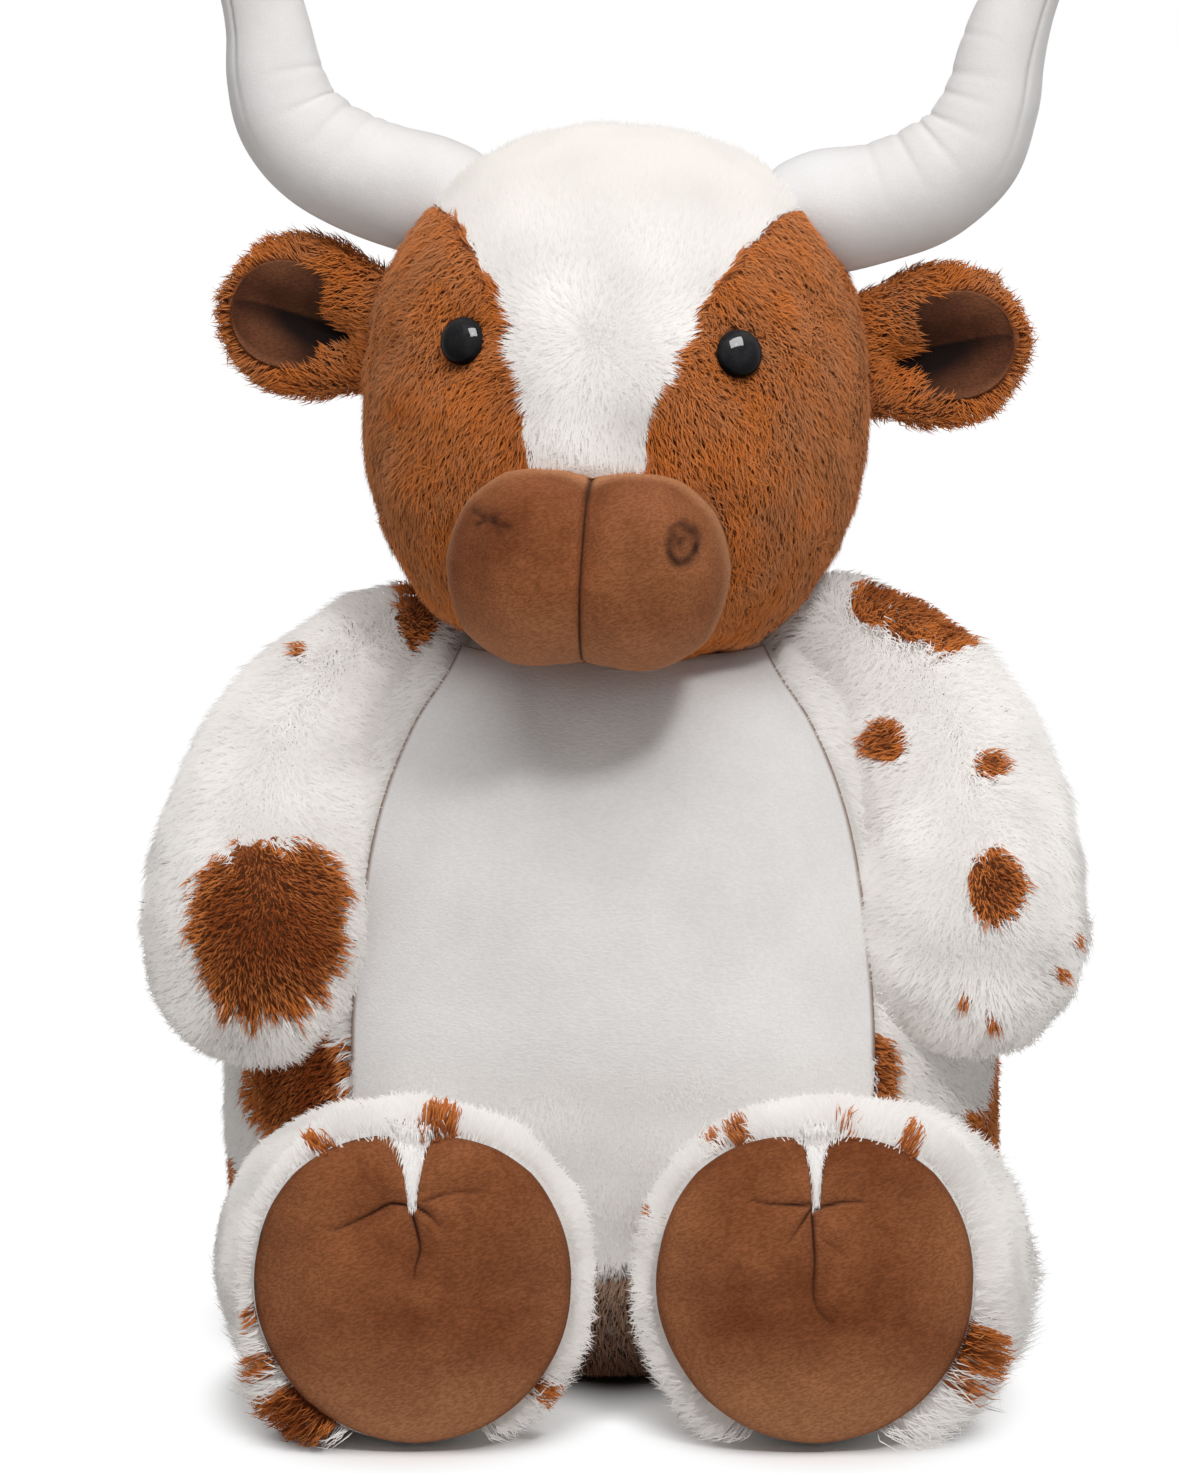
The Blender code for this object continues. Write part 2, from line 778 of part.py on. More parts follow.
def build_arm(word, side, body, fur, filling):
    place = shoulder_place(side)
    axis = frame_empty(f"arm_{word}_axis", place)
    route = arm_route(side)

    def make_form(sides):
        return limb_form("arm", route, SHOULDER_RADIUS, DEEP, sides)

    skin, stuffing = skin_and_stuffing(make_form, ARM_SIDES, body, place, SHOULDER_RADIUS, ROOT_SIDES)
    open_root(skin, place, (route[1][0] - place).normalized(), SHOULDER_RADIUS)
    seated(skin, f"arm_{word}_skin", fur, place, axis, place)
    seated(stuffing, f"arm_{word}_stuffing", filling, place, axis, place)


# Legs
def hip_place(side):
    return Vector((side * HIP_X, HIP_Y, HIP_Z))


def leg_route(side):
    route = [(hip_place(side), HIP_RADIUS)]
    for along_share, in_share, up_share, size_share in LEG_SHARES:
        step = Vector((-side * LEG_TOE_IN * in_share, -LEG_LENGTH * along_share, LEG_RISE * up_share))
        route.append((hip_place(side) + step, FOOT_RADIUS * size_share))
    return route


def hoof_zone(side, room):
    """Space in front of the sole seam, less the wedge of fur between the two toes, with room let in all round."""
    seam_y = HIP_Y - LEG_LENGTH * HOOF_SEAM_SHARE + room
    middle = hip_place(side) + Vector((-side * LEG_TOE_IN, 0, LEG_RISE))
    reach = FOOT_RADIUS + FABRIC
    half_wedge = CLEFT_WIDTH / 2
    top = middle.z + reach
    point = middle.z + FOOT_RADIUS - CLEFT_DEPTH + room * CLEFT_DEPTH / half_wedge
    box = [(middle.x - reach, middle.z - reach), (middle.x + reach, middle.z - reach)]
    box += [(middle.x + reach, top), (middle.x + half_wedge - room, top)]
    box += [(middle.x, point), (middle.x - half_wedge + room, top), (middle.x - reach, top)]
    return upright_sheet("hoof", box, seam_y - LEG_LENGTH, seam_y)


def build_leg(word, side, body, fur, suede, filling):
    place = hip_place(side)
    axis = frame_empty(f"leg_{word}_axis", place)
    route = leg_route(side)

    def make_form(sides):
        return limb_form("leg", route, HIP_RADIUS, UP, sides)

    skin, stuffing = skin_and_stuffing(make_form, LEG_SIDES, body, place, HIP_RADIUS, LEG_ROOT_SIDES)
    zone, opening = hoof_zone(side, 0), hoof_zone(side, SEAM_GAP)
    pad = within(copied(skin), zone)
    less(skin, opening)
    discard(zone, opening)
    seated(skin, f"leg_{word}_skin", fur, place, axis, place)
    seated(pad, f"hoof_pad_{word}", suede, place, axis, place)
    seated(stuffing, f"leg_{word}_stuffing", filling, place, axis, place)


# Tail
def tail_place():
    return Vector((0, TAIL_Y, TAIL_Z))


def tail_route():
    return [
        (tail_place() + Vector((0, TAIL_BACK * back_share, -TAIL_DROP * down_share)), size)
        for back_share, down_share, size in (
            (0, 0, TAIL_ROOT_RADIUS),
            (TAIL_BEND_SHARES[0], TAIL_BEND_SHARES[1], TAIL_RADIUS),
            (1, 1, TAIL_RADIUS),
        )
    ]


def build_tail(fur, tuft_fur):
    place = tail_place()
    axis = frame_empty("tail_axis", place)
    route = tail_route()
    tail = limb_form("tail", route, TAIL_ROOT_RADIUS, ACROSS, TAIL_SIDES)
    end = route[-1][0]
    along = (end - route[-2][0]).normalized()
    start = end - along * TUFT_LENGTH * TUFT_LAP_SHARE
    stations = [
        (start + along * TUFT_LENGTH * along_share, TUFT_RADIUS * size_share, TUFT_RADIUS * size_share)
        for along_share, size_share in TUFT_SHARES
    ]
    tuft = swept("tuft", stations, ACROSS, 2, TAIL_SIDES)
    core = grown(tail, SEAM_GAP)
    less(tuft, core)
    discard(core)
    seated(tail, "tail_cord", fur, place, axis, place)
    seated(tuft, "tail_tuft", tuft_fur, place, axis, place)


def build_cow():
    clear_objects()
    white = cloth("white_spotted_fur", (0.80, 0.77, 0.74), 0.95)
    rust = cloth("rust_fur", (0.33, 0.12, 0.04), 0.95)
    belly_white = cloth("short_pile_belly", (0.72, 0.70, 0.69), 0.9)
    velour = cloth("white_velour", (0.78, 0.76, 0.75), 0.85)
    suede = cloth("brown_suede", (0.27, 0.12, 0.07), 0.8)
    dark_suede = cloth("dark_brown_suede", (0.10, 0.045, 0.03), 0.8)
    filling = cloth("polyester_filling", (0.82, 0.82, 0.80), 1.0)
    black = cloth("black_gloss_plastic", (0.006, 0.006, 0.007), 0.08)
    nylon = cloth("nylon_washer", (0.75, 0.74, 0.70), 0.5)

    head = head_form(HEAD_SIDES)
    body = torso_form(TORSO_SIDES)
    dish_size = dish_radius(cap_reach(head), SEAM_GAP, HEAD_SIDES)
    head_dish = ball("head_dish", nod_pivot(), dish_size, HEAD_SIDES)
    neck = neck_form(neck_rim_height(dish_size), NECK_SIDES)
    neck_socket = grown(neck, SEAT_CLEARANCE)

    seats = [neck_socket, head_dish]
    seats += [dish(shoulder_place(side), SHOULDER_RADIUS, SWING_CLEARANCE, ROOT_SIDES) for side in TOY_SIDES.values()]
    seats += [dish(hip_place(side), HIP_RADIUS, SWING_CLEARANCE, LEG_ROOT_SIDES) for side in TOY_SIDES.values()]
    seats.append(dish(tail_place(), TAIL_ROOT_RADIUS, SEAT_CLEARANCE, ROOT_SIDES))
    build_torso(body, seats, white, belly_white, filling)

    neck_axis = frame_empty("neck_axis", Vector((HEAD_X, HEAD_Y, NECK_BOTTOM)))
    build_neck(neck, head_dish, neck_axis, white, filling)

    head_frame = frame_empty("head_frame", head_place() - neck_axis.location, neck_axis)
    head_frame.rotation_euler = (0, math.radians(HEAD_TIP_DEG), math.radians(HEAD_TURN_DEG))
    roots = [dish(horn_place(side), HORN_RADIUS, SEAT_CLEARANCE, ROOT_SIDES) for side in TOY_SIDES.values()]
    roots += [ear_groove(side) for side in TOY_SIDES.values()]
    build_head(head, roots, head_frame, rust, white, filling)
    build_muzzle(head, head_frame, suede, filling)

    for word, side in TOY_SIDES.items():
        build_eye(word, side, head_frame, black, nylon)
        build_ear(word, side, head, head_frame, rust, dark_suede)
        build_horn(word, side, head, head_frame, velour, filling)
        build_arm(word, side, body, white, filling)
        build_leg(word, side, body, white, suede, filling)
    build_tail(white, rust)
    discard(head, body, *seats, *roots)


build_cow()
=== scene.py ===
# %% [markdown]
# # A seated plush cow, dressed over its solids
#
# The frame holds the toy's plain solids and its joints. This lesson covers them with sewn skins,
# long pile, suede and velour. Everything is in metres, +Z is up, and the toy faces -Y. Left and
# right are the toy's own, so its left side is +X.

# %% The frame
import math

import bpy
import numpy as np
from mathutils import Euler, Matrix, Vector, kdtree


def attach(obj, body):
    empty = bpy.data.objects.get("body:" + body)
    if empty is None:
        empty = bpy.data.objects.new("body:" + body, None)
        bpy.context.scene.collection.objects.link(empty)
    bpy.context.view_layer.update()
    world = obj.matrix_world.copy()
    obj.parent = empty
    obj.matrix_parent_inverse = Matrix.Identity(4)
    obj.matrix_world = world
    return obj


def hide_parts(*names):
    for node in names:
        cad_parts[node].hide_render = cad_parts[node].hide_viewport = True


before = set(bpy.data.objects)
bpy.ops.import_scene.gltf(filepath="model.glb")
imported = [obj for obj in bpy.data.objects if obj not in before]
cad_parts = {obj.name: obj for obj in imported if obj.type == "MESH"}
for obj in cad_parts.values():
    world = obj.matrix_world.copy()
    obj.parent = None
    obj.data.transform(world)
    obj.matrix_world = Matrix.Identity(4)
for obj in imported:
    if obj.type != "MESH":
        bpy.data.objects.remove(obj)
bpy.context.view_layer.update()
MM = 0.001

# %% [markdown]
# ## Camera
#
# The toy is seen from a little above, through a long lens, so that it hardly tapers. The camera
# comes first because the rust patches are laid out as they are seen from the front: a patch on a
# round arm is easier to place in the view than along the arm.

# %% Camera
VIEW_TILT = math.radians(8.0)
VIEW_DISTANCE = 1.70
VIEW_AIM = np.array((-0.0066, 0.0, 0.168))
VIEW_HEIGHT = 0.4198
VIEW_FROM = np.array((0, -math.cos(VIEW_TILT), math.sin(VIEW_TILT)))
SENSOR = 36.0

camera = bpy.data.objects.new("camera", bpy.data.cameras.new("camera"))
camera.data.sensor_width = SENSOR
camera.data.lens = SENSOR * VIEW_DISTANCE / VIEW_HEIGHT
camera.location = VIEW_AIM + VIEW_DISTANCE * VIEW_FROM
camera.rotation_euler = (math.radians(90) - VIEW_TILT, 0, 0)
bpy.context.collection.objects.link(camera)
bpy.context.scene.camera = camera
print("lens", round(camera.data.lens, 1), "mm")


def seen(points):
    """Where points stand in the front view, in millimetres right of and above the aim."""
    away = points - VIEW_AIM
    depth = VIEW_DISTANCE + away[:, 1] * math.cos(VIEW_TILT) - away[:, 2] * math.sin(VIEW_TILT)
    high = away[:, 1] * math.sin(VIEW_TILT) + away[:, 2] * math.cos(VIEW_TILT)
    return np.stack((away[:, 0], high), 1) / depth[:, None] * VIEW_DISTANCE / MM


def oval_reach(flat, x, y, wide, high):
    """Distance in the front view from the middle of an oval, 1 at its edge."""
    return np.hypot((flat[:, 0] - x) / wide, (flat[:, 1] - y) / high)


def seen_depth(points):
    """How far behind the aim points lie in the front view, in millimetres."""
    return (VIEW_AIM - points) @ VIEW_FROM / MM


# %% [markdown]
# ## Small tools for forms
#
# A stuffed limb is a stack of rings along a bent line. Each row of a table gives a middle and a
# radius; a smooth curve through the rows gives as many rings as the surface needs. Numpy arrays
# hold the rings, because they can be bent, pressed and dented before they become a mesh. Most
# dents and shades are a ramp, which runs evenly from 0 to 1, or a bell, which fades to both sides.

# %% Rings and meshes
def unit(vectors):
    return vectors / np.maximum(np.linalg.norm(vectors, axis=-1, keepdims=True), 1e-12)


def signed_power(values, power):
    return np.sign(values) * np.abs(values) ** power


def ramp(values, zero_at, one_at):
    """0 at the first value, 1 at the second, even between them and flat beyond."""
    return np.clip((values - zero_at) / (one_at - zero_at), 0, 1)


def bell(values, width):
    """1 where the values are 0, and nearly nothing from two widths away."""
    return np.exp(-((values / width) ** 2))


def smooth_rows(rows, count):
    """Rows read at even steps from a smooth curve through the given rows."""
    rows = np.array(rows, float)
    gaps = np.linalg.norm(np.diff(rows, axis=0), axis=1)
    at = np.concatenate(([0], np.cumsum(gaps)))
    slopes = np.diff(rows, axis=0) / gaps[:, None]
    middle = (slopes[:-1] * gaps[1:, None] + slopes[1:] * gaps[:-1, None]) / (gaps[:-1] + gaps[1:])[:, None]
    bends = np.concatenate((slopes[:1], middle, slopes[-1:]))
    wanted = np.linspace(0, at[-1], count)
    i = np.clip(np.searchsorted(at, wanted, side="right") - 1, 0, len(gaps) - 1)
    t = ((wanted - at[i]) / gaps[i])[:, None]
    span = gaps[i][:, None]
    start = rows[i] * (2 * t**3 - 3 * t**2 + 1) + bends[i] * span * (t**3 - 2 * t**2 + t)
    return start + rows[i + 1] * (3 * t**2 - 2 * t**3) + bends[i + 1] * span * (t**3 - t**2)


def oval_rings(middles, across, deep, half_widths, half_depths, fullness, sides):
    """One ring of points round each middle, as an array of rings, sides and xyz."""
    turn = 2 * np.pi * (np.arange(sides) + 0.5) / sides
    wide = signed_power(np.cos(turn), 2 / fullness)[None, :, None]
    far = signed_power(np.sin(turn), 2 / fullness)[None, :, None]
    return (
        middles[:, None]
        + across[:, None] * half_widths[:, None, None] * wide
        + deep[:, None] * half_depths[:, None, None] * far
    )


def swept_rings(rows, deep_axis, count, sides):
    """Round rings along a smooth route of (x, y, z, radius)."""
    path = smooth_rows(rows, count)
    middles, radius = path[:, :3], np.maximum(path[:, 3], 0)
    along = unit(np.gradient(middles, axis=0))
    across = unit(np.cross(along, np.array(deep_axis, float)))
    return oval_rings(middles, across, np.cross(across, along), radius, radius, 2, sides)


def closed_faces(rings, sides):
    """Quads between rings, and a fan at each end to one more point."""
    faces = []
    for row in range(rings - 1):
        a, b = row * sides, (row + 1) * sides
        faces += [(a + i, a + (i + 1) % sides, b + (i + 1) % sides, b + i) for i in range(sides)]
    low, high = rings * sides, rings * sides + 1
    last = (rings - 1) * sides
    faces += [(low, (i + 1) % sides, i) for i in range(sides)]
    faces += [(high, last + i, last + (i + 1) % sides) for i in range(sides)]
    return faces


def grid_faces(columns, rows):
    """Quads between the points of a grid, which are numbered row by row."""
    return [
        (r * columns + c, r * columns + c + 1, (r + 1) * columns + c + 1, (r + 1) * columns + c)
        for r in range(rows - 1)
        for c in range(columns - 1)
    ]


def grid_rim(columns, rows):
    """Points round the edge of such a grid, in order."""
    rim = list(range(columns)) + [r * columns + columns - 1 for r in range(1, rows)]
    rim += [(rows - 1) * columns + c for c in range(columns - 2, -1, -1)]
    return rim + [r * columns for r in range(rows - 2, 0, -1)]


def new_piece(name, mesh):
    piece = bpy.data.objects.new(name, mesh)
    bpy.context.collection.objects.link(piece)
    return piece


def mesh_piece(name, points, faces):
    mesh = bpy.data.meshes.new(name)
    mesh.from_pydata(points.tolist(), [], faces)
    mesh.update()
    mesh.shade_smooth()
    return new_piece(name, mesh)


def ring_piece(name, rings):
    """Closed skin over rings, wound so that its faces look out."""
    count, sides, _ = rings.shape
    points = np.concatenate((rings.reshape(-1, 3), [rings[0].mean(0)], [rings[-1].mean(0)]))
    faces = closed_faces(count, sides)
    ends = np.array([(face[0], face[1], face[2], face[-1]) for face in faces])
    a, b, c, d = (points - points.mean(0))[ends].transpose(1, 0, 2)
    volume = (np.cross(b, c) + np.cross(c, d)) * a
    if volume.sum() < 0:
        faces = [face[::-1] for face in faces]
    return mesh_piece(name, points, faces)


def numbers_of(collection, field, width):
    values = np.empty(len(collection) * width, np.float32)
    collection.foreach_get(field, values)
    return values.reshape(-1, width).astype(float)


def places_of(piece):
    return numbers_of(piece.data.vertices, "co", 3)


def facings_of(piece):
    return numbers_of(piece.data.vertices, "normal", 3)


def move_points(piece, points):
    piece.data.vertices.foreach_set("co", points.astype(np.float32).ravel())
    piece.data.update()


def paint(piece, name, values):
    """Store one number for each vertex, for a material to read."""
    layer = piece.data.attributes.get(name) or piece.data.attributes.new(name, "FLOAT", "POINT")
    layer.data.foreach_set("value", np.asarray(values, np.float32))


LUMP_WAVES = 7


def lumps(points, size, seed):
    """Smooth uneven values from about -1 to 1, with bumps about the given size across."""
    draw = np.random.default_rng(seed)
    total = np.zeros(len(points))
    for _ in range(LUMP_WAVES):
        heading = unit(draw.normal(size=3))
        length = size * draw.uniform(1.4, 2.6)
        total += np.sin(points @ heading * 2 * np.pi / length + draw.uniform(0, 2 * np.pi))
    return total / math.sqrt(LUMP_WAVES)


# %% [markdown]
# ## Body forms
#
# These are the sizes that the solids were made from. The torso is an egg with a flat seat, the
# head a wide egg that is turned and tipped a little, and each limb a route of middles and radii.

# %% Torso and head
# share of the height, share of the full width, share of the lean
TORSO_ROWS = (
    (0.00, 0.76, 0.00),
    (0.03, 0.87, 0.00),
    (0.08, 0.935, 0.00),
    (0.16, 0.98, 0.00),
    (0.28, 1.00, 0.02),
    (0.42, 0.985, 0.08),
    (0.56, 0.92, 0.20),
    (0.68, 0.845, 0.38),
    (0.79, 0.755, 0.58),
    (0.88, 0.655, 0.78),
    (0.95, 0.53, 0.92),
    (1.00, 0.36, 1.00),
)
TORSO_SIZE = (0.107, 0.089, 0.200)
TORSO_LEAN = 0.016
# 2 would make plain ellipses, and more makes them fuller
FULLNESS = 2.2
HEAD_SIZE = (0.067, 0.0655, 0.0735)
HEAD_TURN = Euler((0, math.radians(2.2), math.radians(-5.5)))
HEAD_AT = (0.001, -0.030, 0.2655)
HEAD_PLACE = Matrix.LocRotScale(Vector(HEAD_AT), HEAD_TURN, None)
HEAD_AXES, HEAD_MIDDLE = np.array(HEAD_PLACE.to_3x3()), np.array(HEAD_PLACE.translation)
TOY_SIDES = {"left": 1, "right": -1}


def torso_sizes(heights):
    """Half width, half depth and middle of the torso's ring at each height."""
    table = smooth_rows(TORSO_ROWS, 240)
    share = np.clip(heights / TORSO_SIZE[2], 0, 1)
    size = np.interp(share, table[:, 0], table[:, 1])
    lean = np.interp(share, table[:, 0], table[:, 2])
    return TORSO_SIZE[0] * size, TORSO_SIZE[1] * size, -TORSO_LEAN * lean


def push_from_torso(points, room):
    """Points inside the torso, or nearer than room, moved out level to its surface."""
    wide, deep, middle = torso_sizes(points[:, 2])
    x, y = points[:, 0], points[:, 1] - middle
    reach = (np.abs(x / (wide + room)) ** FULLNESS + np.abs(y / (deep + room)) ** FULLNESS) ** (1 / FULLNESS)
    inside = (reach < 1) & (points[:, 2] > 0) & (points[:, 2] < TORSO_SIZE[2])
    scale = np.where(inside, 1 / np.maximum(reach, 0.2), 1)
    return np.stack((x * scale, y * scale + middle, points[:, 2]), 1)


def dent_round(points, centre, radius):
    """Points within a ball moved to its far side, so that the ball can turn there."""
    away = points - np.array(centre)
    far = np.linalg.norm(away, axis=1, keepdims=True)
    return np.where(far < radius, np.array(centre) + away / np.maximum(far, 1e-6) * radius, points)


def in_head(points):
    """Points of the row frame in the head's own directions, from its middle."""
    return (points - HEAD_MIDDLE) @ HEAD_AXES


def from_head(points):
    return points @ HEAD_AXES.T + HEAD_MIDDLE


def level_rings(middles, half_widths, half_depths, sides):
    """Full ovals that lie level, one round each middle."""
    across, deep = np.tile((1.0, 0, 0), (len(middles), 1)), np.tile((0, 1.0, 0), (len(middles), 1))
    return oval_rings(middles, across, deep, half_widths, half_depths, FULLNESS, sides)


def torso_rings(count, sides, extra):
    table = smooth_rows(TORSO_ROWS, count)
    middles = np.stack((np.zeros(count), -TORSO_LEAN * table[:, 2], TORSO_SIZE[2] * table[:, 0]), 1)
    size = table[:, 1]
    return level_rings(middles, TORSO_SIZE[0] * size + extra, TORSO_SIZE[1] * size + extra, sides)


def head_rings(rows, sides, extra):
    climb = np.pi * (np.arange(1, rows) / rows - 0.5)
    high = signed_power(np.sin(climb), 2 / FULLNESS)
    share = np.cos(climb) ** (2 / FULLNESS)
    middles = np.stack((0 * high, 0 * high, (HEAD_SIZE[2] + extra) * high), 1)
    rings = level_rings(middles, (HEAD_SIZE[0] + extra) * share, (HEAD_SIZE[1] + extra) * share, sides)
    return from_head(rings.reshape(-1, 3)).reshape(rings.shape)


# %% Limb routes
ARM_RADIUS, SHOULDER_RADIUS = 0.0275, 0.0180
ARM_DROP, ARM_FORWARD = 0.1015, 0.0480
SHOULDERS = {"left": (0.0620, -0.0120, 0.1940), "right": (-0.0575, -0.0120, 0.1915)}
ARM_SPREAD = {"left": 0.0368, "right": 0.0400}
# down, out, forward, radius
ARM_ROWS = (
    (0.08, 0.32, 0.10, 0.745),
    (0.23, 0.66, 0.30, 0.875),
    (0.41, 0.88, 0.54, 0.955),
    (0.61, 1.00, 0.78, 1.00),
    (0.79, 1.00, 0.92, 0.96),
    (0.91, 0.97, 0.98, 0.745),
    (0.975, 0.95, 1.00, 0.43),
    (1.00, 0.94, 1.00, 0.00),
)
FOOT_RADIUS, HIP_RADIUS = 0.0425, 0.0360
HIP = (0.0700, -0.0840, 0.0375)
LEG_LENGTH, TOE_IN, LEG_RISE = 0.0745, 0.0172, 0.0056
# along, in, up, radius
LEG_ROWS = (
    (0.22, 0.36, 0.22, 0.865),
    (0.43, 0.64, 0.50, 0.91),
    (0.61, 0.83, 0.76, 0.97),
    (0.75, 0.94, 0.93, 1.00),
    (0.86, 0.985, 1.00, 0.985),
    (0.895, 1.00, 1.00, 0.93),
    (0.910, 1.00, 1.00, 0.80),
    (0.915, 1.00, 1.00, 0.45),
    (0.918, 1.00, 1.00, 0.00),
)
HORN_RADIUS, HORN_REACH, HORN_HEIGHT = 0.0167, 0.0740, 0.0920
HORN_ROOT = (0.0522, 0.0060, 0.0547)
# out, up, radius
HORN_ROWS = (
    (0.00, 0.000, 1.00),
    (0.22, 0.038, 1.00),
    (0.44, 0.118, 0.96),
    (0.57, 0.212, 0.90),
    (0.635, 0.345, 0.81),
    (0.67, 0.485, 0.72),
    (0.72, 0.630, 0.645),
    (0.80, 0.785, 0.53),
    (0.89, 0.910, 0.37),
    (0.96, 0.975, 0.20),
    (1.00, 1.000, 0.00),
)
# behind the first point, radius
ROOT_ROWS = ((1.00, 0.00), (0.87, 0.50), (0.50, 0.87))


def rooted(route, radius):
    """The route with a round root behind its first point."""
    start, ahead = np.array(route[0][:3]), np.array(route[1][:3])
    back = unit(start - ahead)
    root = [(*(start + back * radius * behind), radius * size) for behind, size in ROOT_ROWS]
    return root + list(route)


def arm_route(word):
    side = TOY_SIDES[word]
    x, y, z = SHOULDERS[word]
    route = [(x, y, z, SHOULDER_RADIUS)]
    for down, out, ahead, size in ARM_ROWS:
        step = (side * ARM_SPREAD[word] * out, -ARM_FORWARD * ahead, -ARM_DROP * down)
        route.append((x + step[0], y + step[1], z + step[2], ARM_RADIUS * size))
    return rooted(route, SHOULDER_RADIUS)


def hip_place(word):
    return np.array((TOY_SIDES[word] * HIP[0], HIP[1], HIP[2]))


def leg_route(word):
    side = TOY_SIDES[word]
    x, y, z = hip_place(word)
    route = [(x, y, z, HIP_RADIUS)]
    for along, inward, up, size in LEG_ROWS:
        place = (x - side * TOE_IN * inward, y - LEG_LENGTH * along, z + LEG_RISE * up)
        route.append((*place, FOOT_RADIUS * size))
    return rooted(route, HIP_RADIUS)


def horn_root(word):
    return np.array((TOY_SIDES[word] * HORN_ROOT[0], HORN_ROOT[1], HORN_ROOT[2]))


def horn_route(word):
    x, y, z = horn_root(word)
    reach = TOY_SIDES[word] * HORN_REACH
    route = [(x + reach * out, y, z + HORN_HEIGHT * up, HORN_RADIUS * size) for out, up, size in HORN_ROWS]
    return rooted(route, HORN_RADIUS)


print("route rows", [len(route("left")) for route in (arm_route, leg_route, horn_route)])

# %% [markdown]
# ## Effects that several finishes share
#
# Short pile, suede and velour all have a fine nap, and all of them are a little uneven in colour
# where they have been handled. Each effect is one node group, built once, that puts out a height
# or a mask; the shader stays in the material.

# %% Node groups
def new_group(name, inputs, outputs):
    group = bpy.data.node_groups.new(name, "ShaderNodeTree")
    for label, kind, value in inputs:
        socket = group.interface.new_socket(label, in_out="INPUT", socket_type=kind)
        socket.default_value = value
    for label, kind in outputs:
        group.interface.new_socket(label, in_out="OUTPUT", socket_type=kind)
    return group, group.nodes.new("NodeGroupInput"), group.nodes.new("NodeGroupOutput")


def add(tree, kind, links=(), **values):
    """A node with its fields set, and its inputs linked or given values by name or number."""
    node = tree.nodes.new(kind)
    for key, value in values.items():
        setattr(node, key, value)
    for key, value in dict(links).items():
        if isinstance(value, bpy.types.NodeSocket):
            tree.links.new(value, node.inputs[key])
        else:
            node.inputs[key].default_value = value
    return node


def maths(tree, operation, *terms):
    return add(tree, "ShaderNodeMath", dict(enumerate(terms)), operation=operation).outputs[0]


def noise(tree, where, scale, detail, roughness):
    links = {"Vector": where, "Scale": scale, "Detail": detail, "Roughness": roughness}
    return add(tree, "ShaderNodeTexNoise", links).outputs["Fac"]


def ranged(tree, value, low, high, to_low=0.0, to_high=1.0):
    links = {"Value": value, "From Min": low, "From Max": high, "To Min": to_low, "To Max": to_high}
    return add(tree, "ShaderNodeMapRange", links, interpolation_type="SMOOTHSTEP").outputs["Result"]


def mixed(tree, share, first, second, kind="MIX"):
    # a Mix node has its colours at inputs 6 and 7, and their mix at output 2
    links = {0: share, 6: first, 7: second}
    return add(tree, "ShaderNodeMix", links, data_type="RGBA", blend_type=kind).outputs[2]


def nap_group():
    """Height of a brushed surface: a grain of short fibres, drawn out along one way, over wider waves."""
    inputs = (
        ("Grain", "NodeSocketFloat", 900.0),
        ("Waves", "NodeSocketFloat", 90.0),
        ("Stretch", "NodeSocketFloat", 1.0),
        ("Turn", "NodeSocketFloat", 0.0),
    )
    outputs = (("Height", "NodeSocketFloat"), ("Mask", "NodeSocketFloat"))
    group, given, out = new_group("nap", inputs, outputs)
    place = add(group, "ShaderNodeTexCoord").outputs["Object"]
    links = {"Vector": place, "Angle": given.outputs["Turn"]}
    turned = add(group, "ShaderNodeVectorRotate", links, rotation_type="Y_AXIS").outputs[0]
    drawn = add(group, "ShaderNodeCombineXYZ", {"X": given.outputs["Stretch"], "Y": 1.0, "Z": 1.0})
    links = {0: turned, 1: drawn.outputs[0]}
    where = add(group, "ShaderNodeVectorMath", links, operation="MULTIPLY").outputs[0]
    grain = noise(group, where, given.outputs["Grain"], 4.0, 0.65)
    waves = noise(group, place, given.outputs["Waves"], 3.0, 0.5)
    fine, wide = maths(group, "MULTIPLY", grain, 0.6), maths(group, "MULTIPLY", waves, 0.4)
    group.links.new(maths(group, "ADD", fine, wide), out.inputs["Height"])
    group.links.new(ranged(group, grain, 0.35, 0.65), out.inputs["Mask"])
    return group


def handled_group():
    """Mask of wide soft patches, where cloth has been rubbed or brushed the other way."""
    inputs = (("Size", "NodeSocketFloat", 30.0), ("Contrast", "NodeSocketFloat", 0.15))
    group, given, out = new_group("handled", inputs, (("Mask", "NodeSocketFloat"),))
    place = add(group, "ShaderNodeTexCoord").outputs["Object"]
    wide = noise(group, place, given.outputs["Size"], 4.0, 0.6)
    low = maths(group, "SUBTRACT", 0.5, given.outputs["Contrast"])
    high = maths(group, "ADD", 0.5, given.outputs["Contrast"])
    group.links.new(ranged(group, wide, low, high), out.inputs["Mask"])
    return group


def strand_group():
    """Colour along one strand, from its root to its tip, lighter or darker from strand to strand."""
    white = (1, 1, 1, 1)
    inputs = (
        ("Tone", "NodeSocketFloat", 0.5),
        ("Along", "NodeSocketFloat", 0.5),
        ("Root", "NodeSocketColor", white),
        ("Dull tip", "NodeSocketColor", white),
        ("Bright tip", "NodeSocketColor", white),
    )
    group, given, out = new_group("strand colour", inputs, (("Color", "NodeSocketColor"),))
    tip = mixed(group, given.outputs["Tone"], given.outputs["Dull tip"], given.outputs["Bright tip"])
    rise = ranged(group, given.outputs["Along"], 0.05, 0.85)
    group.links.new(mixed(group, rise, given.outputs["Root"], tip), out.inputs["Color"])
    return group


NAP, HANDLED, STRAND = nap_group(), handled_group(), strand_group()


def placed(tree, group, **values):
    """A node group placed in a material, with its inputs linked or given values by name."""
    links = {key.replace("_", " "): value for key, value in values.items()}
    return add(tree, "ShaderNodeGroup", links, node_tree=group)


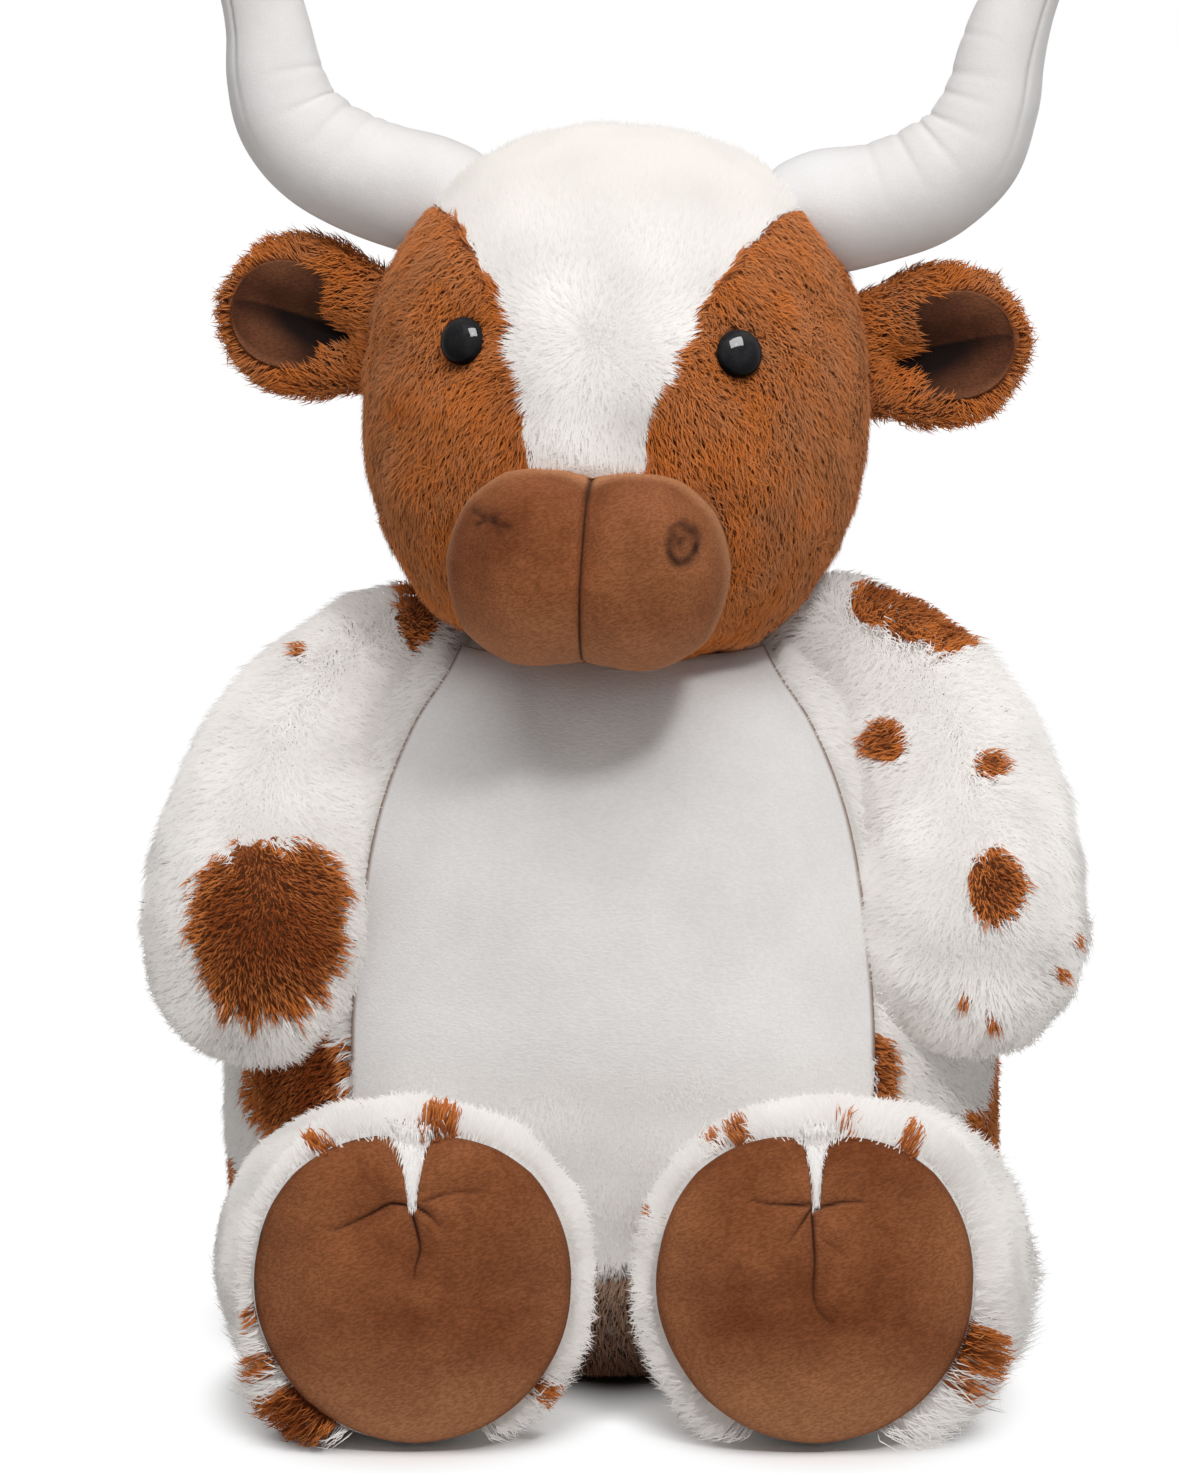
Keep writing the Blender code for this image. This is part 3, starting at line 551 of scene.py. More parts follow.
def stored(tree, name):
    return add(tree, "ShaderNodeAttribute", attribute_name=name).outputs["Fac"]


def linear(red, green, blue):
    """Colour as mixed on a screen, from 0 to 255, in the even scale that shaders use."""
    shares = [value / 255 for value in (red, green, blue)]
    return (*[s / 12.92 if s <= 0.04045 else ((s + 0.055) / 1.055) ** 2.4 for s in shares], 1)


def new_material(name, roughness, sheen=0.0, sheen_roughness=0.4, specular=0.3):
    made = bpy.data.materials.new(name)
    made.use_nodes = True
    shader = made.node_tree.nodes["Principled BSDF"]
    shader.inputs["Roughness"].default_value = roughness
    shader.inputs["Sheen Weight"].default_value = sheen
    shader.inputs["Sheen Roughness"].default_value = sheen_roughness
    shader.inputs["Specular IOR Level"].default_value = specular
    return made, made.node_tree, shader


def raise_surface(tree, shader, height, strength, distance):
    bump = add(tree, "ShaderNodeBump", {"Height": height, "Strength": strength, "Distance": distance})
    tree.links.new(bump.outputs["Normal"], shader.inputs["Normal"])


def two_toned(tree, size, contrast, first, second):
    """A colour that wanders between two, in wide soft patches."""
    worn = placed(tree, HANDLED, Size=size, Contrast=contrast)
    return mixed(tree, worn.outputs["Mask"], first, second)


def grained(tree, nap, share, base, shade):
    """The base colour, with a share of the shade laid over it where the grain is up."""
    return mixed(tree, ranged(tree, nap.outputs["Mask"], 0, 1, 0, share), base, shade, "MULTIPLY")


def shaded(tree, colour, dark):
    """The colour, going over to the dark one where the piece stores a shade."""
    return mixed(tree, ranged(tree, stored(tree, "shade"), 0, 1), colour, dark)


print("node groups", [group.name for group in (NAP, HANDLED, STRAND)])

# %% [markdown]
# ## Pile: one ribbon for each lock of fibres
#
# The toy's fur is a knitted pile about 5 to 10 mm long, and a little longer low on the legs. It
# could be a bump map, but the soft outline would be lost, so each lock is a thin ribbon of two
# segments that tapers to a point. The ribbons stand on the skin, lean with the brushing, and
# gather into small tufts. Every ribbon keeps the facing of the skin below it as most of its own,
# so that the coat shades as one soft body. One number for each lock says which colour it has, and
# one runs from its root to its tip. They are also its texture coordinates, so a baked picture of
# the colours stays sharp.

# %% Pile colours
def pile_material(name, sheen, root, dull, bright):
    """Pile in three colours from 0 to 255: at the root, and at the tips of dull and of bright locks."""
    made, tree, shader = new_material(name, 0.85, sheen=sheen, sheen_roughness=0.35, specular=0.1)
    colours = {"Root": linear(*root), "Dull_tip": linear(*dull), "Bright_tip": linear(*bright)}
    tone, along = stored(tree, "tone"), stored(tree, "along")
    node = placed(tree, STRAND, Tone=tone, Along=along, **colours)
    tree.links.new(node.outputs["Color"], shader.inputs["Base Color"])
    return made


# the roots are mostly darker than the tips: painted shade deep in the pile
RUST_PILE = pile_material("rust pile", 0.08, (152, 84, 42), (196, 130, 86), (218, 124, 54))
PATCH_PILE = pile_material("patch pile", 0.06, (112, 52, 20), (140, 67, 26), (232, 146, 82))
WHITE_PILE = pile_material("white pile", 0.05, (230, 224, 219), (228, 222, 217), (248, 245, 242))
# painted shade: the fur between the legs gets these dark browns
PAINTED_SHADE_PILE = pile_material("dark pile between the legs", 0.02, (84, 54, 38), (100, 68, 50), (196, 160, 136))


def ground_material(name, pale, dark):
    """Knitted ground under the pile, rust where the skin's own rust mask says so."""
    made, tree, shader = new_material(name, 0.95, sheen=0.2)
    nap = placed(tree, NAP, Grain=1400.0, Waves=260.0)
    rust = ranged(tree, stored(tree, "rust"), 0.4, 0.6)
    colour = grained(tree, nap, 0.15, mixed(tree, rust, pale, dark), (0.35, 0.3, 0.26, 1))
    tree.links.new(colour, shader.inputs["Base Color"])
    raise_surface(tree, shader, nap.outputs["Height"], 0.8, 0.0012)
    return made


GROUND = ground_material("pile ground", linear(240, 236, 232), linear(140, 78, 40))
print("pile materials", [made.name for made in (RUST_PILE, PATCH_PILE, WHITE_PILE, PAINTED_SHADE_PILE, GROUND)])


# %% Growing pile
# locks on a square centimetre, and the width of one
PER_CM2 = 190
PILE_WIDTH = 0.00036


def scatter(piece, per_cm2, seed):
    """Even random points on a piece, with the facing of its skin at each."""
    mesh = piece.data
    mesh.calc_loop_triangles()
    corners = np.empty(len(mesh.loop_triangles) * 3, np.int32)
    mesh.loop_triangles.foreach_get("vertices", corners)
    corners = corners.reshape(-1, 3)
    places, facings = places_of(piece), facings_of(piece)
    a, b, c = places[corners].transpose(1, 0, 2)
    total = (np.linalg.norm(np.cross(b - a, c - a), axis=1) / 2).cumsum()
    count = int(total[-1] * 1e4 * per_cm2)
    draw = np.random.default_rng(seed)
    picked = np.searchsorted(total, (np.arange(count) + draw.random(count)) / count * total[-1])
    picked = np.minimum(picked, len(corners) - 1)
    u, v = draw.random((2, count))
    over = u + v > 1
    u[over], v[over] = 1 - u[over], 1 - v[over]
    shares = np.stack((1 - u - v, u, v), 1)[:, :, None]
    return (places[corners[picked]] * shares).sum(1), unit((facings[corners[picked]] * shares).sum(1))


def nearest_of(points, chosen):
    """For each point, which of the chosen points is nearest."""
    tree = kdtree.KDTree(len(chosen))
    for i, at in enumerate(points[chosen]):
        tree.insert(at, i)
    tree.balance()
    return chosen[np.array([tree.find(at)[1] for at in points])]


# how many locks share a tuft, and the elbow's share of a lock's height and sweep
TUFT = 14
ELBOW_UP, ELBOW_OUT = 0.84, 0.30


def grow(roots, facings, comb, height, sweep, seed, pull=0.18, stray=0.28, sway=0.20):
    """Root, elbow and tip of each lock, and the lock that leads its tuft.
    A lock stands on the skin, bends over, lies along the brushing and is pulled to its leader's tip."""
    draw = np.random.default_rng(seed)
    count = len(roots)
    swirl = np.stack([lumps(roots, 0.016, seed * 7 + k) for k in range(3)], 1)
    brushed = unit(comb) + swirl * sway + draw.normal(size=(count, 3)) * stray
    brushed = unit(brushed - facings * (brushed * facings).sum(1, keepdims=True))
    size = (1 + 0.10 * lumps(roots, 0.009, seed * 7 + 5)) * draw.uniform(0.72, 1.08, count)
    high, far = (height * size)[:, None], (sweep * size)[:, None]
    elbows = roots + facings * high * ELBOW_UP + brushed * far * ELBOW_OUT
    tips = roots + facings * high * draw.uniform(0.82, 1.15, (count, 1)) + brushed * far
    chosen = np.sort(draw.choice(count, max(count // TUFT, 1), replace=False))
    leader = nearest_of(roots, chosen)
    share = (pull * draw.uniform(0.5, 1.2, count))[:, None]
    tips = tips + (tips[leader] - tips) * share
    return np.stack((roots, elbows, tips), 1), leader


# %% Ribbons
# share of a ribbon's facing that is the skin's, most spin in radians, where its foot starts on the
# way to the elbow, and how wide that foot is
WHITE_RIBBON = (0.97, 0.45, 0.40, 0.5)
COLOURED_RIBBON = (0.84, 0.60, 0.35, 0.6)
# the two foot corners, the two elbow corners and the tip: the shift in tone, and the way along
CORNER_TONES = np.array((-0.004, 0.004, 0.004, -0.004, 0))
CORNER_ALONG = np.array((0.02, 0.02, 0.5, 0.5, 0.98))


def ribbon_mesh(name, corners):
    """Mesh of one quad and one triangle for each row of five corners, and the corners of its faces."""
    count = len(corners)
    mesh = bpy.data.meshes.new(name)
    mesh.vertices.add(count * 5)
    mesh.vertices.foreach_set("co", corners.astype(np.float32).ravel())
    start = np.arange(count, dtype=np.int32)[:, None]
    loops = (start * 5 + np.array((0, 1, 2, 3, 3, 2, 4), np.int32)).ravel()
    mesh.loops.add(len(loops))
    mesh.loops.foreach_set("vertex_index", loops)
    mesh.polygons.add(count * 2)
    mesh.polygons.foreach_set("loop_start", (start * 7 + np.array((0, 4), np.int32)).ravel())
    mesh.update(calc_edges=True)
    mesh.shade_smooth()
    return mesh, loops


def pile_piece(name, locks, facings, tones, width, body, material, seed, waves=0.10, rise=1.0):
    """One ribbon for each lock. Its foot starts above the ground where rise is 1, and on it where it is 0."""
    white = material is WHITE_PILE
    softness, turn, foot_up, foot_wide = WHITE_RIBBON if white else COLOURED_RIBBON
    draw = np.random.default_rng(seed)
    count = len(locks)
    heading = unit(locks[:, 2] - locks[:, 0])
    side = unit(np.cross(heading, facings))
    spin = draw.uniform(-turn, turn, count)[:, None]
    side = side * np.cos(spin) + np.cross(heading, side) * np.sin(spin)
    front = np.cross(side, heading)
    turned = np.sign((front * facings).sum(1, keepdims=True))
    turned[turned == 0] = 1
    side, front = side * turned, front * turned
    half = (width / 2 * draw.uniform(0.7, 1.3, count))[:, None]
    root, middle, tip = locks.transpose(1, 0, 2)
    root = root + (middle - root) * foot_up * np.broadcast_to(rise, count)[:, None]
    low = side * half * foot_wide
    corners = np.stack((root - low, root + low, middle + side * half, middle - side * half, tip), 1)
    mesh, loops = ribbon_mesh(name, corners)
    ruffled = np.stack([lumps(root, 0.011, 51 + k) for k in range(3)], 1) * waves
    blended = unit(facings * softness + front * (1 - softness) + ruffled)
    normal = mesh.attributes.new("custom_normal", "FLOAT_VECTOR", "POINT")
    normal.data.foreach_set("vector", np.repeat(blended, 5, 0).astype(np.float32).ravel())
    tone = (np.clip(tones, 0.02, 0.98)[:, None] + CORNER_TONES).ravel()
    along = np.tile(CORNER_ALONG, count)
    piece = new_piece(name, mesh)
    paint(piece, "tone", tone)
    paint(piece, "along", along)
    flat = np.stack((tone, along), 1)[loops]
    mesh.uv_layers.new(name="OFBake").data.foreach_set("uv", flat.astype(np.float32).ravel())
    mesh.materials.append(material)
    # white fur casts no shadow and isn't seen by diffuse rays, so that it stays as pale as its cloth
    piece.visible_shadow = piece.visible_diffuse = not white
    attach(piece, body)
    print(name, count, "locks")
    return piece


# %% [markdown]
# ## Where the rust patches lie
#
# Each patch is an oval in the front view, in millimetres right of and above the aim, with its half
# width and half height. A small one stays on the near side of its limb, and a large one runs some
# way round it. The toy's back isn't seen, so the patches there are guesses, laid as balls in the
# row frame. The fur between the legs lies in deep shade, which is painted into its colour as a
# painted shade that darkens towards the floor.

# %% Patches
PATCHES = {
    "arm_right": (
        (-91.5, -55.5, 22.0, 26.0),
        (-80.0, -48.0, 11.0, 17.0),
        (-83.2, 24.1, 2.6, 2.4),
        (-125.1, -77.9, 1.9, 1.9),
        (-49.0, 37.0, 6.0, 12.0),
    ),
    "arm_left": (
        (82.9, 38.5, 8.0, 8.0),
        (93.4, 34.8, 11.0, 8.5),
        (103.4, 29.0, 9.5, 6.2),
        (84.4, -1.9, 6.3, 6.3),
        (114.9, -8.7, 5.4, 3.8),
        (116.3, -43.7, 8.0, 10.8),
        (139.1, -58.6, 2.0, 2.3),
        (133.7, -68.0, 1.8, 2.3),
        (106.6, -76.0, 2.0, 2.4),
        (114.9, -82.2, 2.4, 1.8),
    ),
    "torso": (
        (-83.2, -98.5, 14.6, 19.5),
        (-101.7, -125.5, 2.6, 5.5),
        (82.9, -96.8, 5.4, 10.6),
        (115.4, -107.9, 3.4, 15.7),
        (110.9, -115.3, 6.8, 8.6),
        (-49.0, 36.0, 8.0, 13.0),
    ),
    "leg_right": (
        (-42.5, -111.5, 5.4, 6.4),
        (-76.7, -115.4, 4.4, 2.2),
        (-98.6, -166.3, 2.0, 2.5),
        (-95.2, -178.3, 3.5, 3.5),
        (-86.6, -193.5, 13.5, 9.0),
        (-9.7, -187.7, 4.8, 3.2),
    ),
    "leg_left": (
        (35.1, -113.0, 2.2, 3.3),
        (41.8, -112.1, 2.8, 4.3),
        (91.5, -116.4, 3.0, 4.8),
        (17.4, -134.7, 1.4, 2.4),
        (112.3, -174.3, 5.3, 6.9),
        (109.2, -184.8, 3.8, 3.0),
    ),
}
# balls behind: x, y, z and radius in metres
BALLS = {
    "torso": ((-0.045, 0.085, 0.135, 0.026), (0.060, 0.070, 0.075, 0.020), (-0.090, 0.050, 0.060, 0.015)),
    "arm_right": ((-0.105, 0.012, 0.150, 0.012),),
    "arm_left": ((0.112, -0.004, 0.120, 0.014),),
}
# thin patches: the same values, and the share of their locks that are rust
THIN_PATCHES = {
    "leg_left": ((73.2, -113.0, 3.4, 2.4, 0.35),),
    "leg_right": ((-80.5, -115.5, 4.0, 2.6, 0.35),),
}
# the fur between the legs that gets painted shade: middle, half width and half height
GAP_PATCH = (8.0, -162.0, 16.0, 21.0)
# a depth that stands for being in no patch
NOT_IN = -9.0


def rust_depth(body, points, facings):
    """How far inside a rust patch each point is, in millimetres, with an uneven edge; below 0 outside."""
    flat, behind = seen(points), seen_depth(points)
    wobble = 0.10 * lumps(points, 0.006, 31) + 0.07 * lumps(points, 0.0025, 32)
    depth = np.full(len(points), NOT_IN)
    front = facings @ VIEW_FROM > -0.35
    for x, y, wide, high in PATCHES.get(body, ()):
        size = max(wide, high)
        reach = oval_reach(flat, x, y, wide, high) + wobble * min(1.0, 6.0 / size + 0.5)
        nearest = np.min(behind[front & (reach < 1)], initial=np.inf)
        limit = 2.2 * size + 12 * min(max((size - 8) / 3, 0), 1)
        here = front & (behind < nearest + limit * (1 + wobble))
        depth = np.maximum(depth, np.where(here, (1 - reach) * min(wide, high), NOT_IN))
    for x, y, z, radius in BALLS.get(body, ()):
        far = np.linalg.norm(points - np.array((x, y, z)), axis=1) / radius
        depth = np.maximum(depth, (1 - far - wobble) * radius / MM)
    return depth


print("patches", {body: len(rows) for body, rows in PATCHES.items()})

# %% Spotted coats
FRONT_PULL = 0.6
# how far inside a spot the locks are cut short, in millimetres, and what is left of them
SPOT_CORE, LEG_SPOT_CORE, RUST_LENGTH = 0.8, -0.4, 0.50
# the torso's white pile is two pieces, cut at this height, to keep each under 200,000 faces
TORSO_SPLIT = 0.095
# heights in the view where the painted shade on the fur between the legs is darkest and lightest, in
# millimetres
GAP_LIGHT = (-178, -148)


def turned_front(facings):
    """Facings of a coat's front half, turned to the front, where its outline would look combed thin."""
    pull = FRONT_PULL * np.clip(facings @ VIEW_FROM + 0.4, 0, 1)[:, None]
    return unit(facings + VIEW_FROM * pull)


def spotted_coat(name, locks, facings, body, seed, waves=0.12, rise=None):
    """Pile of a body: white, deep rust and pale rust in its patches, and painted shade between the legs."""
    draw = np.random.default_rng(seed)
    count = len(locks)
    roots, elbows, tips = locks.transpose(1, 0, 2)
    inside = rust_depth(body, roots * 0.5 + tips * 0.5, facings)
    rust = inside > draw.uniform(-0.5, 0.3, count)
    core = LEG_SPOT_CORE if body.startswith("leg") else SPOT_CORE
    length = np.where(rust & (inside > core), RUST_LENGTH, 1.0)[:, None]
    locks = np.stack((roots, elbows, elbows + (tips - elbows) * length), 1)
    uneven = 0.20 * lumps(roots, 0.012, seed) + draw.normal(size=count) * 0.16
    flat, behind = seen(roots), seen_depth(roots)
    for x, y, wide, high, share in THIN_PATCHES.get(body, ()):
        far = oval_reach(flat, x, y, wide, high)
        here = (far < draw.uniform(0.7, 1.2, count)) & (draw.random(count) < share)
        nearest = np.min(behind[far < 1], initial=np.inf)
        rust |= here & (behind < nearest + 2.5 * max(wide, high))
    gap = np.zeros(count, bool)
    if body == "torso":
        edge = draw.uniform(0.85, 1.15, count)
        gap = (oval_reach(flat, *GAP_PATCH) < edge) & (facings @ VIEW_FROM > 0)
    pale = rust & (inside < draw.uniform(1.5, 4.0, count))
    upper = (roots[:, 2] > TORSO_SPLIT) & (body == "torso")
    # tones: a deep patch is darkest in its middle, and the painted shade between the legs is lighter higher
    # up
    plain = 0.68 + uneven * 0.5
    deep = np.where(inside > -1, 0.92 - 0.75 * ramp(inside, 0, 5.0), 0.80) + uneven * 0.7
    light = 0.78 + uneven * 0.7
    painted_gap_tones = ramp(flat[:, 1], *GAP_LIGHT) ** 1.3 + uneven * 0.35
    facings = turned_front(facings)
    rise = np.ones(count) if rise is None else rise
    for mine, tone, material, slot, word in (
        (~rust & ~gap & ~upper, plain, WHITE_PILE, "white_spotted_fur", "white"),
        (~rust & ~gap & upper, plain, WHITE_PILE, "white_spotted_fur", "white_upper"),
        (rust & ~gap & ~pale, deep, PATCH_PILE, "rust_fur", "rust"),
        (pale & ~gap, light, RUST_PILE, "rust_fur", "pale_rust"),
        # the fur between the legs gets painted shade, darker towards the floor
        (gap, painted_gap_tones, PAINTED_SHADE_PILE, "rust_fur", "dark"),
    ):
        if not mine.any():
            continue
        ruffle = waves if material is WHITE_PILE else waves * 0.5
        kept = (locks[mine], facings[mine], tone[mine], PILE_WIDTH)
        coat = pile_piece(f"{name}_{word}", *kept, body, material, seed + 1, ruffle, rise[mine])


# %% [markdown]
# ## Torso
#
# The torso is a sewn bag of pile over its filling. It is the largest form, so its skin is made
# from its rings, dented where the shoulders, hips and head turn in it, and then covered with pile
# brushed downwards. The belly panel is a separate short-pile cloth on the front.

# %% Torso skin
# room that the torso leaves round a root that turns in it, and its hollow for the head
SOCKET_ROOM = 0.0022
HEAD_SOCKET, HEAD_SOCKET_DROP = 0.0715, 0.004
# how many rings the cloth has, their sides, and how far it lies outside the solid's size
TORSO_CLOTH = (110, 150, -0.001)
torso = ring_piece("torso_skin_cloth", torso_rings(*TORSO_CLOTH))
points = places_of(torso)
for word in TOY_SIDES:
    points = dent_round(points, SHOULDERS[word], SHOULDER_RADIUS + SOCKET_ROOM)
    points = dent_round(points, hip_place(word), HIP_RADIUS + SOCKET_ROOM)
points = dent_round(points, HEAD_MIDDLE - (0, 0, HEAD_SOCKET_DROP), HEAD_SOCKET)
move_points(torso, points)
paint(torso, "rust", rust_depth("torso", points, facings_of(torso)) > 0)
torso.data.materials.append(GROUND)
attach(torso, "torso")
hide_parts("torso_skin", "torso_stuffing")
print("torso skin", len(points), "points")

# %% Belly panel
BELLY_HALF, BELLY_BOTTOM, BELLY_TOP = 0.072, 0.034, 0.194
# how far the panel goes on above its top, under the chin
BELLY_TUCK = 0.0035
BELLY_COLUMNS, BELLY_LINES, SEAM_FROM_LINE = 90, 110, 36
# share of the way up, share of the half width
BELLY_ROWS = (
    (0.00, 0.45),
    (0.02, 0.66),
    (0.08, 0.85),
    (0.18, 0.965),
    (0.32, 1.00),
    (0.55, 0.975),
    (0.75, 0.90),
    (0.90, 0.77),
    (1.00, 0.62),
    (1.03, 0.58),
)


def belly_half_width(heights):
    table = smooth_rows(BELLY_ROWS, 80)
    share = (heights - BELLY_BOTTOM) / (BELLY_TOP - BELLY_BOTTOM)
    return BELLY_HALF * np.interp(share, table[:, 0], table[:, 1], left=0, right=0)


def front_of_torso(x, z, out):
    wide, deep, middle = torso_sizes(z)
    left = np.clip(1 - np.abs(x / (wide + out)) ** FULLNESS, 0, 1)
    return middle - (deep + out) * left ** (1 / FULLNESS)


def sheet_piece(name, columns, rows, place):
    """Closed thin sheet: place(across, up, layer) gives points, with layer 0 in front and 1 behind."""
    across, up = np.meshgrid(np.linspace(-1, 1, columns), np.linspace(0, 1, rows))
    points = np.concatenate([place(across.ravel(), up.ravel(), layer) for layer in (0, 1)])
    size = columns * rows
    front, rim = grid_faces(columns, rows), grid_rim(columns, rows)
    back = [tuple(size + i for i in face[::-1]) for face in front]
    edge = [(b, a, size + a, size + b) for a, b in zip(rim, rim[1:] + rim[:1])]
    return mesh_piece(name, points, front + back + edge)


def belly_place(across, up, layer):
    z = BELLY_BOTTOM + (BELLY_TOP + BELLY_TUCK - BELLY_BOTTOM) * up
    x = across * belly_half_width(z)
    return np.stack((x, front_of_torso(x, z, 0.0012 - 0.0028 * layer), z), 1)


belly = sheet_piece("belly_panel_cloth", BELLY_COLUMNS, BELLY_LINES, belly_place)
stitched = np.zeros((2, BELLY_LINES, BELLY_COLUMNS))
stitched[:, SEAM_FROM_LINE:, (0, -1)] = 1
paint(belly, "shade", stitched.ravel())


def belly_material():
    made, tree, shader = new_material("short pile", 0.95, sheen=0.25, sheen_roughness=0.4, specular=0.1)
    nap = placed(tree, NAP, Grain=1500.0, Waves=220.0, Stretch=0.4)
    base = two_toned(tree, 26.0, 0.2, linear(232, 230, 229), linear(241, 239, 237))
    colour = grained(tree, nap, 0.12, base, (0.62, 0.6, 0.6, 1))
    colour = shaded(tree, colour, linear(146, 121, 107))
    tree.links.new(colour, shader.inputs["Base Color"])
    raise_surface(tree, shader, nap.outputs["Height"], 0.5, 0.0008)
    return made


SHORT_PILE = belly_material()
belly.data.materials.append(SHORT_PILE)
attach(belly, "torso")
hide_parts("belly_panel")
print("belly panel", round(BELLY_HALF * 2 / MM), "mm wide")

# %% Seat panel
# share of the torso's size, and the panel's rounded edge: heights and shares of its width
SEAT_SHARE = 0.70
SEAT_HEIGHTS, SEAT_SHARES = (0.0001, 0.0004, 0.0018, 0.0021), np.array((0.97, 1, 1, 0.97))
seat_middles = np.array([(0, 0, z) for z in SEAT_HEIGHTS])
seat_halves = [TORSO_SIZE[axis] * SEAT_SHARE * SEAT_SHARES for axis in (0, 1)]
seat = ring_piece("seat_panel_cloth", level_rings(seat_middles, *seat_halves, 96))
seat.data.materials.append(SHORT_PILE)
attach(seat, "torso")
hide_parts("seat_panel")


# %% Torso pile
# height of the pile, and how far it sweeps along the brushing
TORSO_PILE = (0.0055, 0.0048)
# locks stay this far above the floor, and none grows this near the head's middle
FLOOR_GAP = 0.0006
HEAD_HIDES = 0.074
# half width of the bare strip above the belly panel, under the chin
TOP_EDGE_HALF = 0.046


def falling(facings, down=0.7):
    """Brushed down, and round to the side and back that the skin faces."""
    return np.stack((facings[:, 0] * 1.2, np.full(len(facings), 0.4), np.full(len(facings), -down)), 1)


roots, facings = scatter(torso, PER_CM2, 101)
half = np.where(roots[:, 2] > BELLY_TOP - 0.002, TOP_EDGE_HALF, belly_half_width(roots[:, 2] + 0.001))
on_belly = (np.abs(roots[:, 0]) < half - 0.002) & (roots[:, 1] < -0.02)
under_head = np.linalg.norm(in_head(roots), axis=1) < HEAD_HIDES
keep = ~on_belly & ~under_head & (roots[:, 2] > 0.003)
roots, facings = roots[keep], facings[keep]
locks, _ = grow(roots, facings, falling(facings), *TORSO_PILE, 102)
locks[:, :, 2] = np.maximum(locks[:, :, 2], FLOOR_GAP)
for word, side in TOY_SIDES.items():
    mine = roots[:, 0] * side >= 0
    spotted_coat(f"torso_pile_{word}", locks[mine], facings[mine], "torso", 103)

# %% Belly pile
# the panel is smooth at the top and turns into longer pile low down: the height and sweep where it
# starts, what they gain further down, and the heights where it starts and is longest
BELLY_PILE, BELLY_GAIN = (0.0008, 0.0020), (0.0036, 0.0022)
BELLY_PILE_FROM, BELLY_PILE_FULL = 0.092, 0.047
roots, facings = scatter(belly, PER_CM2, 111)
draw = np.random.default_rng(113)
low = ramp(roots[:, 2], BELLY_PILE_FROM, BELLY_PILE_FULL)
front = (facings[:, 1] < -0.05) & (low > draw.uniform(0, 0.3, len(roots)))
roots, facings, low = roots[front], facings[front], low[front]
height, sweep = [start + gain * low for start, gain in zip(BELLY_PILE, BELLY_GAIN)]
locks, _ = grow(roots, facings, falling(facings, 4.0), height, sweep, 112)
tones = 0.55 + draw.normal(size=len(locks)) * 0.05
coat = pile_piece("belly_pile", locks, facings, tones, PILE_WIDTH, "torso", WHITE_PILE, 114)

# %% [markdown]
# ## Arms and legs
#
# A limb hangs against the torso and flattens where it touches. Its rings are made round, and the
# points that would lie inside the torso are then moved out to its surface, apart from the round
# root that turns in its socket. The end of a leg takes the outline of its sole. The photograph
# sees the toy turned by a hair, so the left foot's pile is longer on its outer side.

# %% The sole's outline
SOLE_RADIUS = 0.0402
CLEFT_DEEP = 0.0175
# share of the leg's length at which its sole stands
SOLE_STANDS = 0.905
# reach of the sole in each direction, in degrees from the toy's left, as shares of its radius
SOLE_TURNS = (-180, -150, -120, -90, -60, -30, 0, 30, 45, 60, 75, 90, 105, 120, 135, 150, 165, 180)
SOLE_REACH = (
    (1.04, 1.02, 1.025, 1.04, 1.035, 1.025, 1.03, 1.07, 1.09)
    + (1.075, 1.04, 1.01, 1.04, 1.075, 1.09, 1.075, 1.05, 1.04)
)
FLAT_WAYS = np.array((1.0, 0, 1.0))


def sole_middle(word):
    side = TOY_SIDES[word]
    return np.array((side * (HIP[0] - TOE_IN), HIP[1] - LEG_LENGTH * SOLE_STANDS, HIP[2] + LEG_RISE))


def sole_outline(turn):
    return SOLE_RADIUS * np.interp(np.degrees(turn), SOLE_TURNS, SOLE_REACH)


def sole_reach(away):
    """Reach of the sole in the direction of each point, which is given from the sole's middle."""
    return sole_outline(np.arctan2(away[..., 2], away[..., 0]))


def toe_drop(x, z):
    """How far the sole's rim drops between the two toes."""
    return 0.0022 * bell(x, 0.0055) * ramp(z, 0.025, 0.037)


# %% Limb skins
# room between a limb and the torso, the round root's own room, and how far inside its rim the
# sole covers the end of the skin
LIMB_GAP, ROOT_GAP, SOLE_COVER = 0.0006, 0.0016, 0.0016


def fit_to_sole(points, word):
    """The end of a leg spread to its sole's outline, held inside the rim, and cut off flat."""
    middle = sole_middle(word)
    away = points - middle
    fuller = sole_reach(away)[:, None] / SOLE_RADIUS - 1
    share = ramp(away[:, 1:2], 0.022, 0) * ramp(away[:, 2:], 0, 0.012)
    points = points + away * FLAT_WAYS * fuller * share * 0.7
    away = points - middle
    spoke = np.hypot(away[:, 0], away[:, 2])
    most = sole_reach(away) - SOLE_COVER + np.clip(away[:, 1], 0, 1) * 0.8
    drawn = np.where(away[:, 1] < 0.012, np.minimum(1, most / np.maximum(spoke, 1e-4)), 1)[:, None]
    points = points + away * FLAT_WAYS * (drawn - 1)
    points[:, 1] = np.maximum(points[:, 1], middle[1] + SOLE_COVER)
    return points


def limb_skin(body, route, deep_axis, centre, radius):
    rings = swept_rings(route, deep_axis, 96, 96)
    points = rings.reshape(-1, 3)
    in_socket = np.linalg.norm(points - np.array(centre), axis=1) < radius + ROOT_GAP
    points = np.where(in_socket[:, None], points, push_from_torso(points, LIMB_GAP))
    if body.startswith("leg"):
        points = fit_to_sole(points, body[4:])
    points[:, 2] = np.maximum(points[:, 2], 0.0003)
    piece = ring_piece(f"{body}_cloth", points.reshape(rings.shape))
    paint(piece, "rust", rust_depth(body, places_of(piece), facings_of(piece)) > 0)
    piece.data.materials.append(GROUND)
    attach(piece, body)
    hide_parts(f"{body}_skin", f"{body}_stuffing")
    return piece


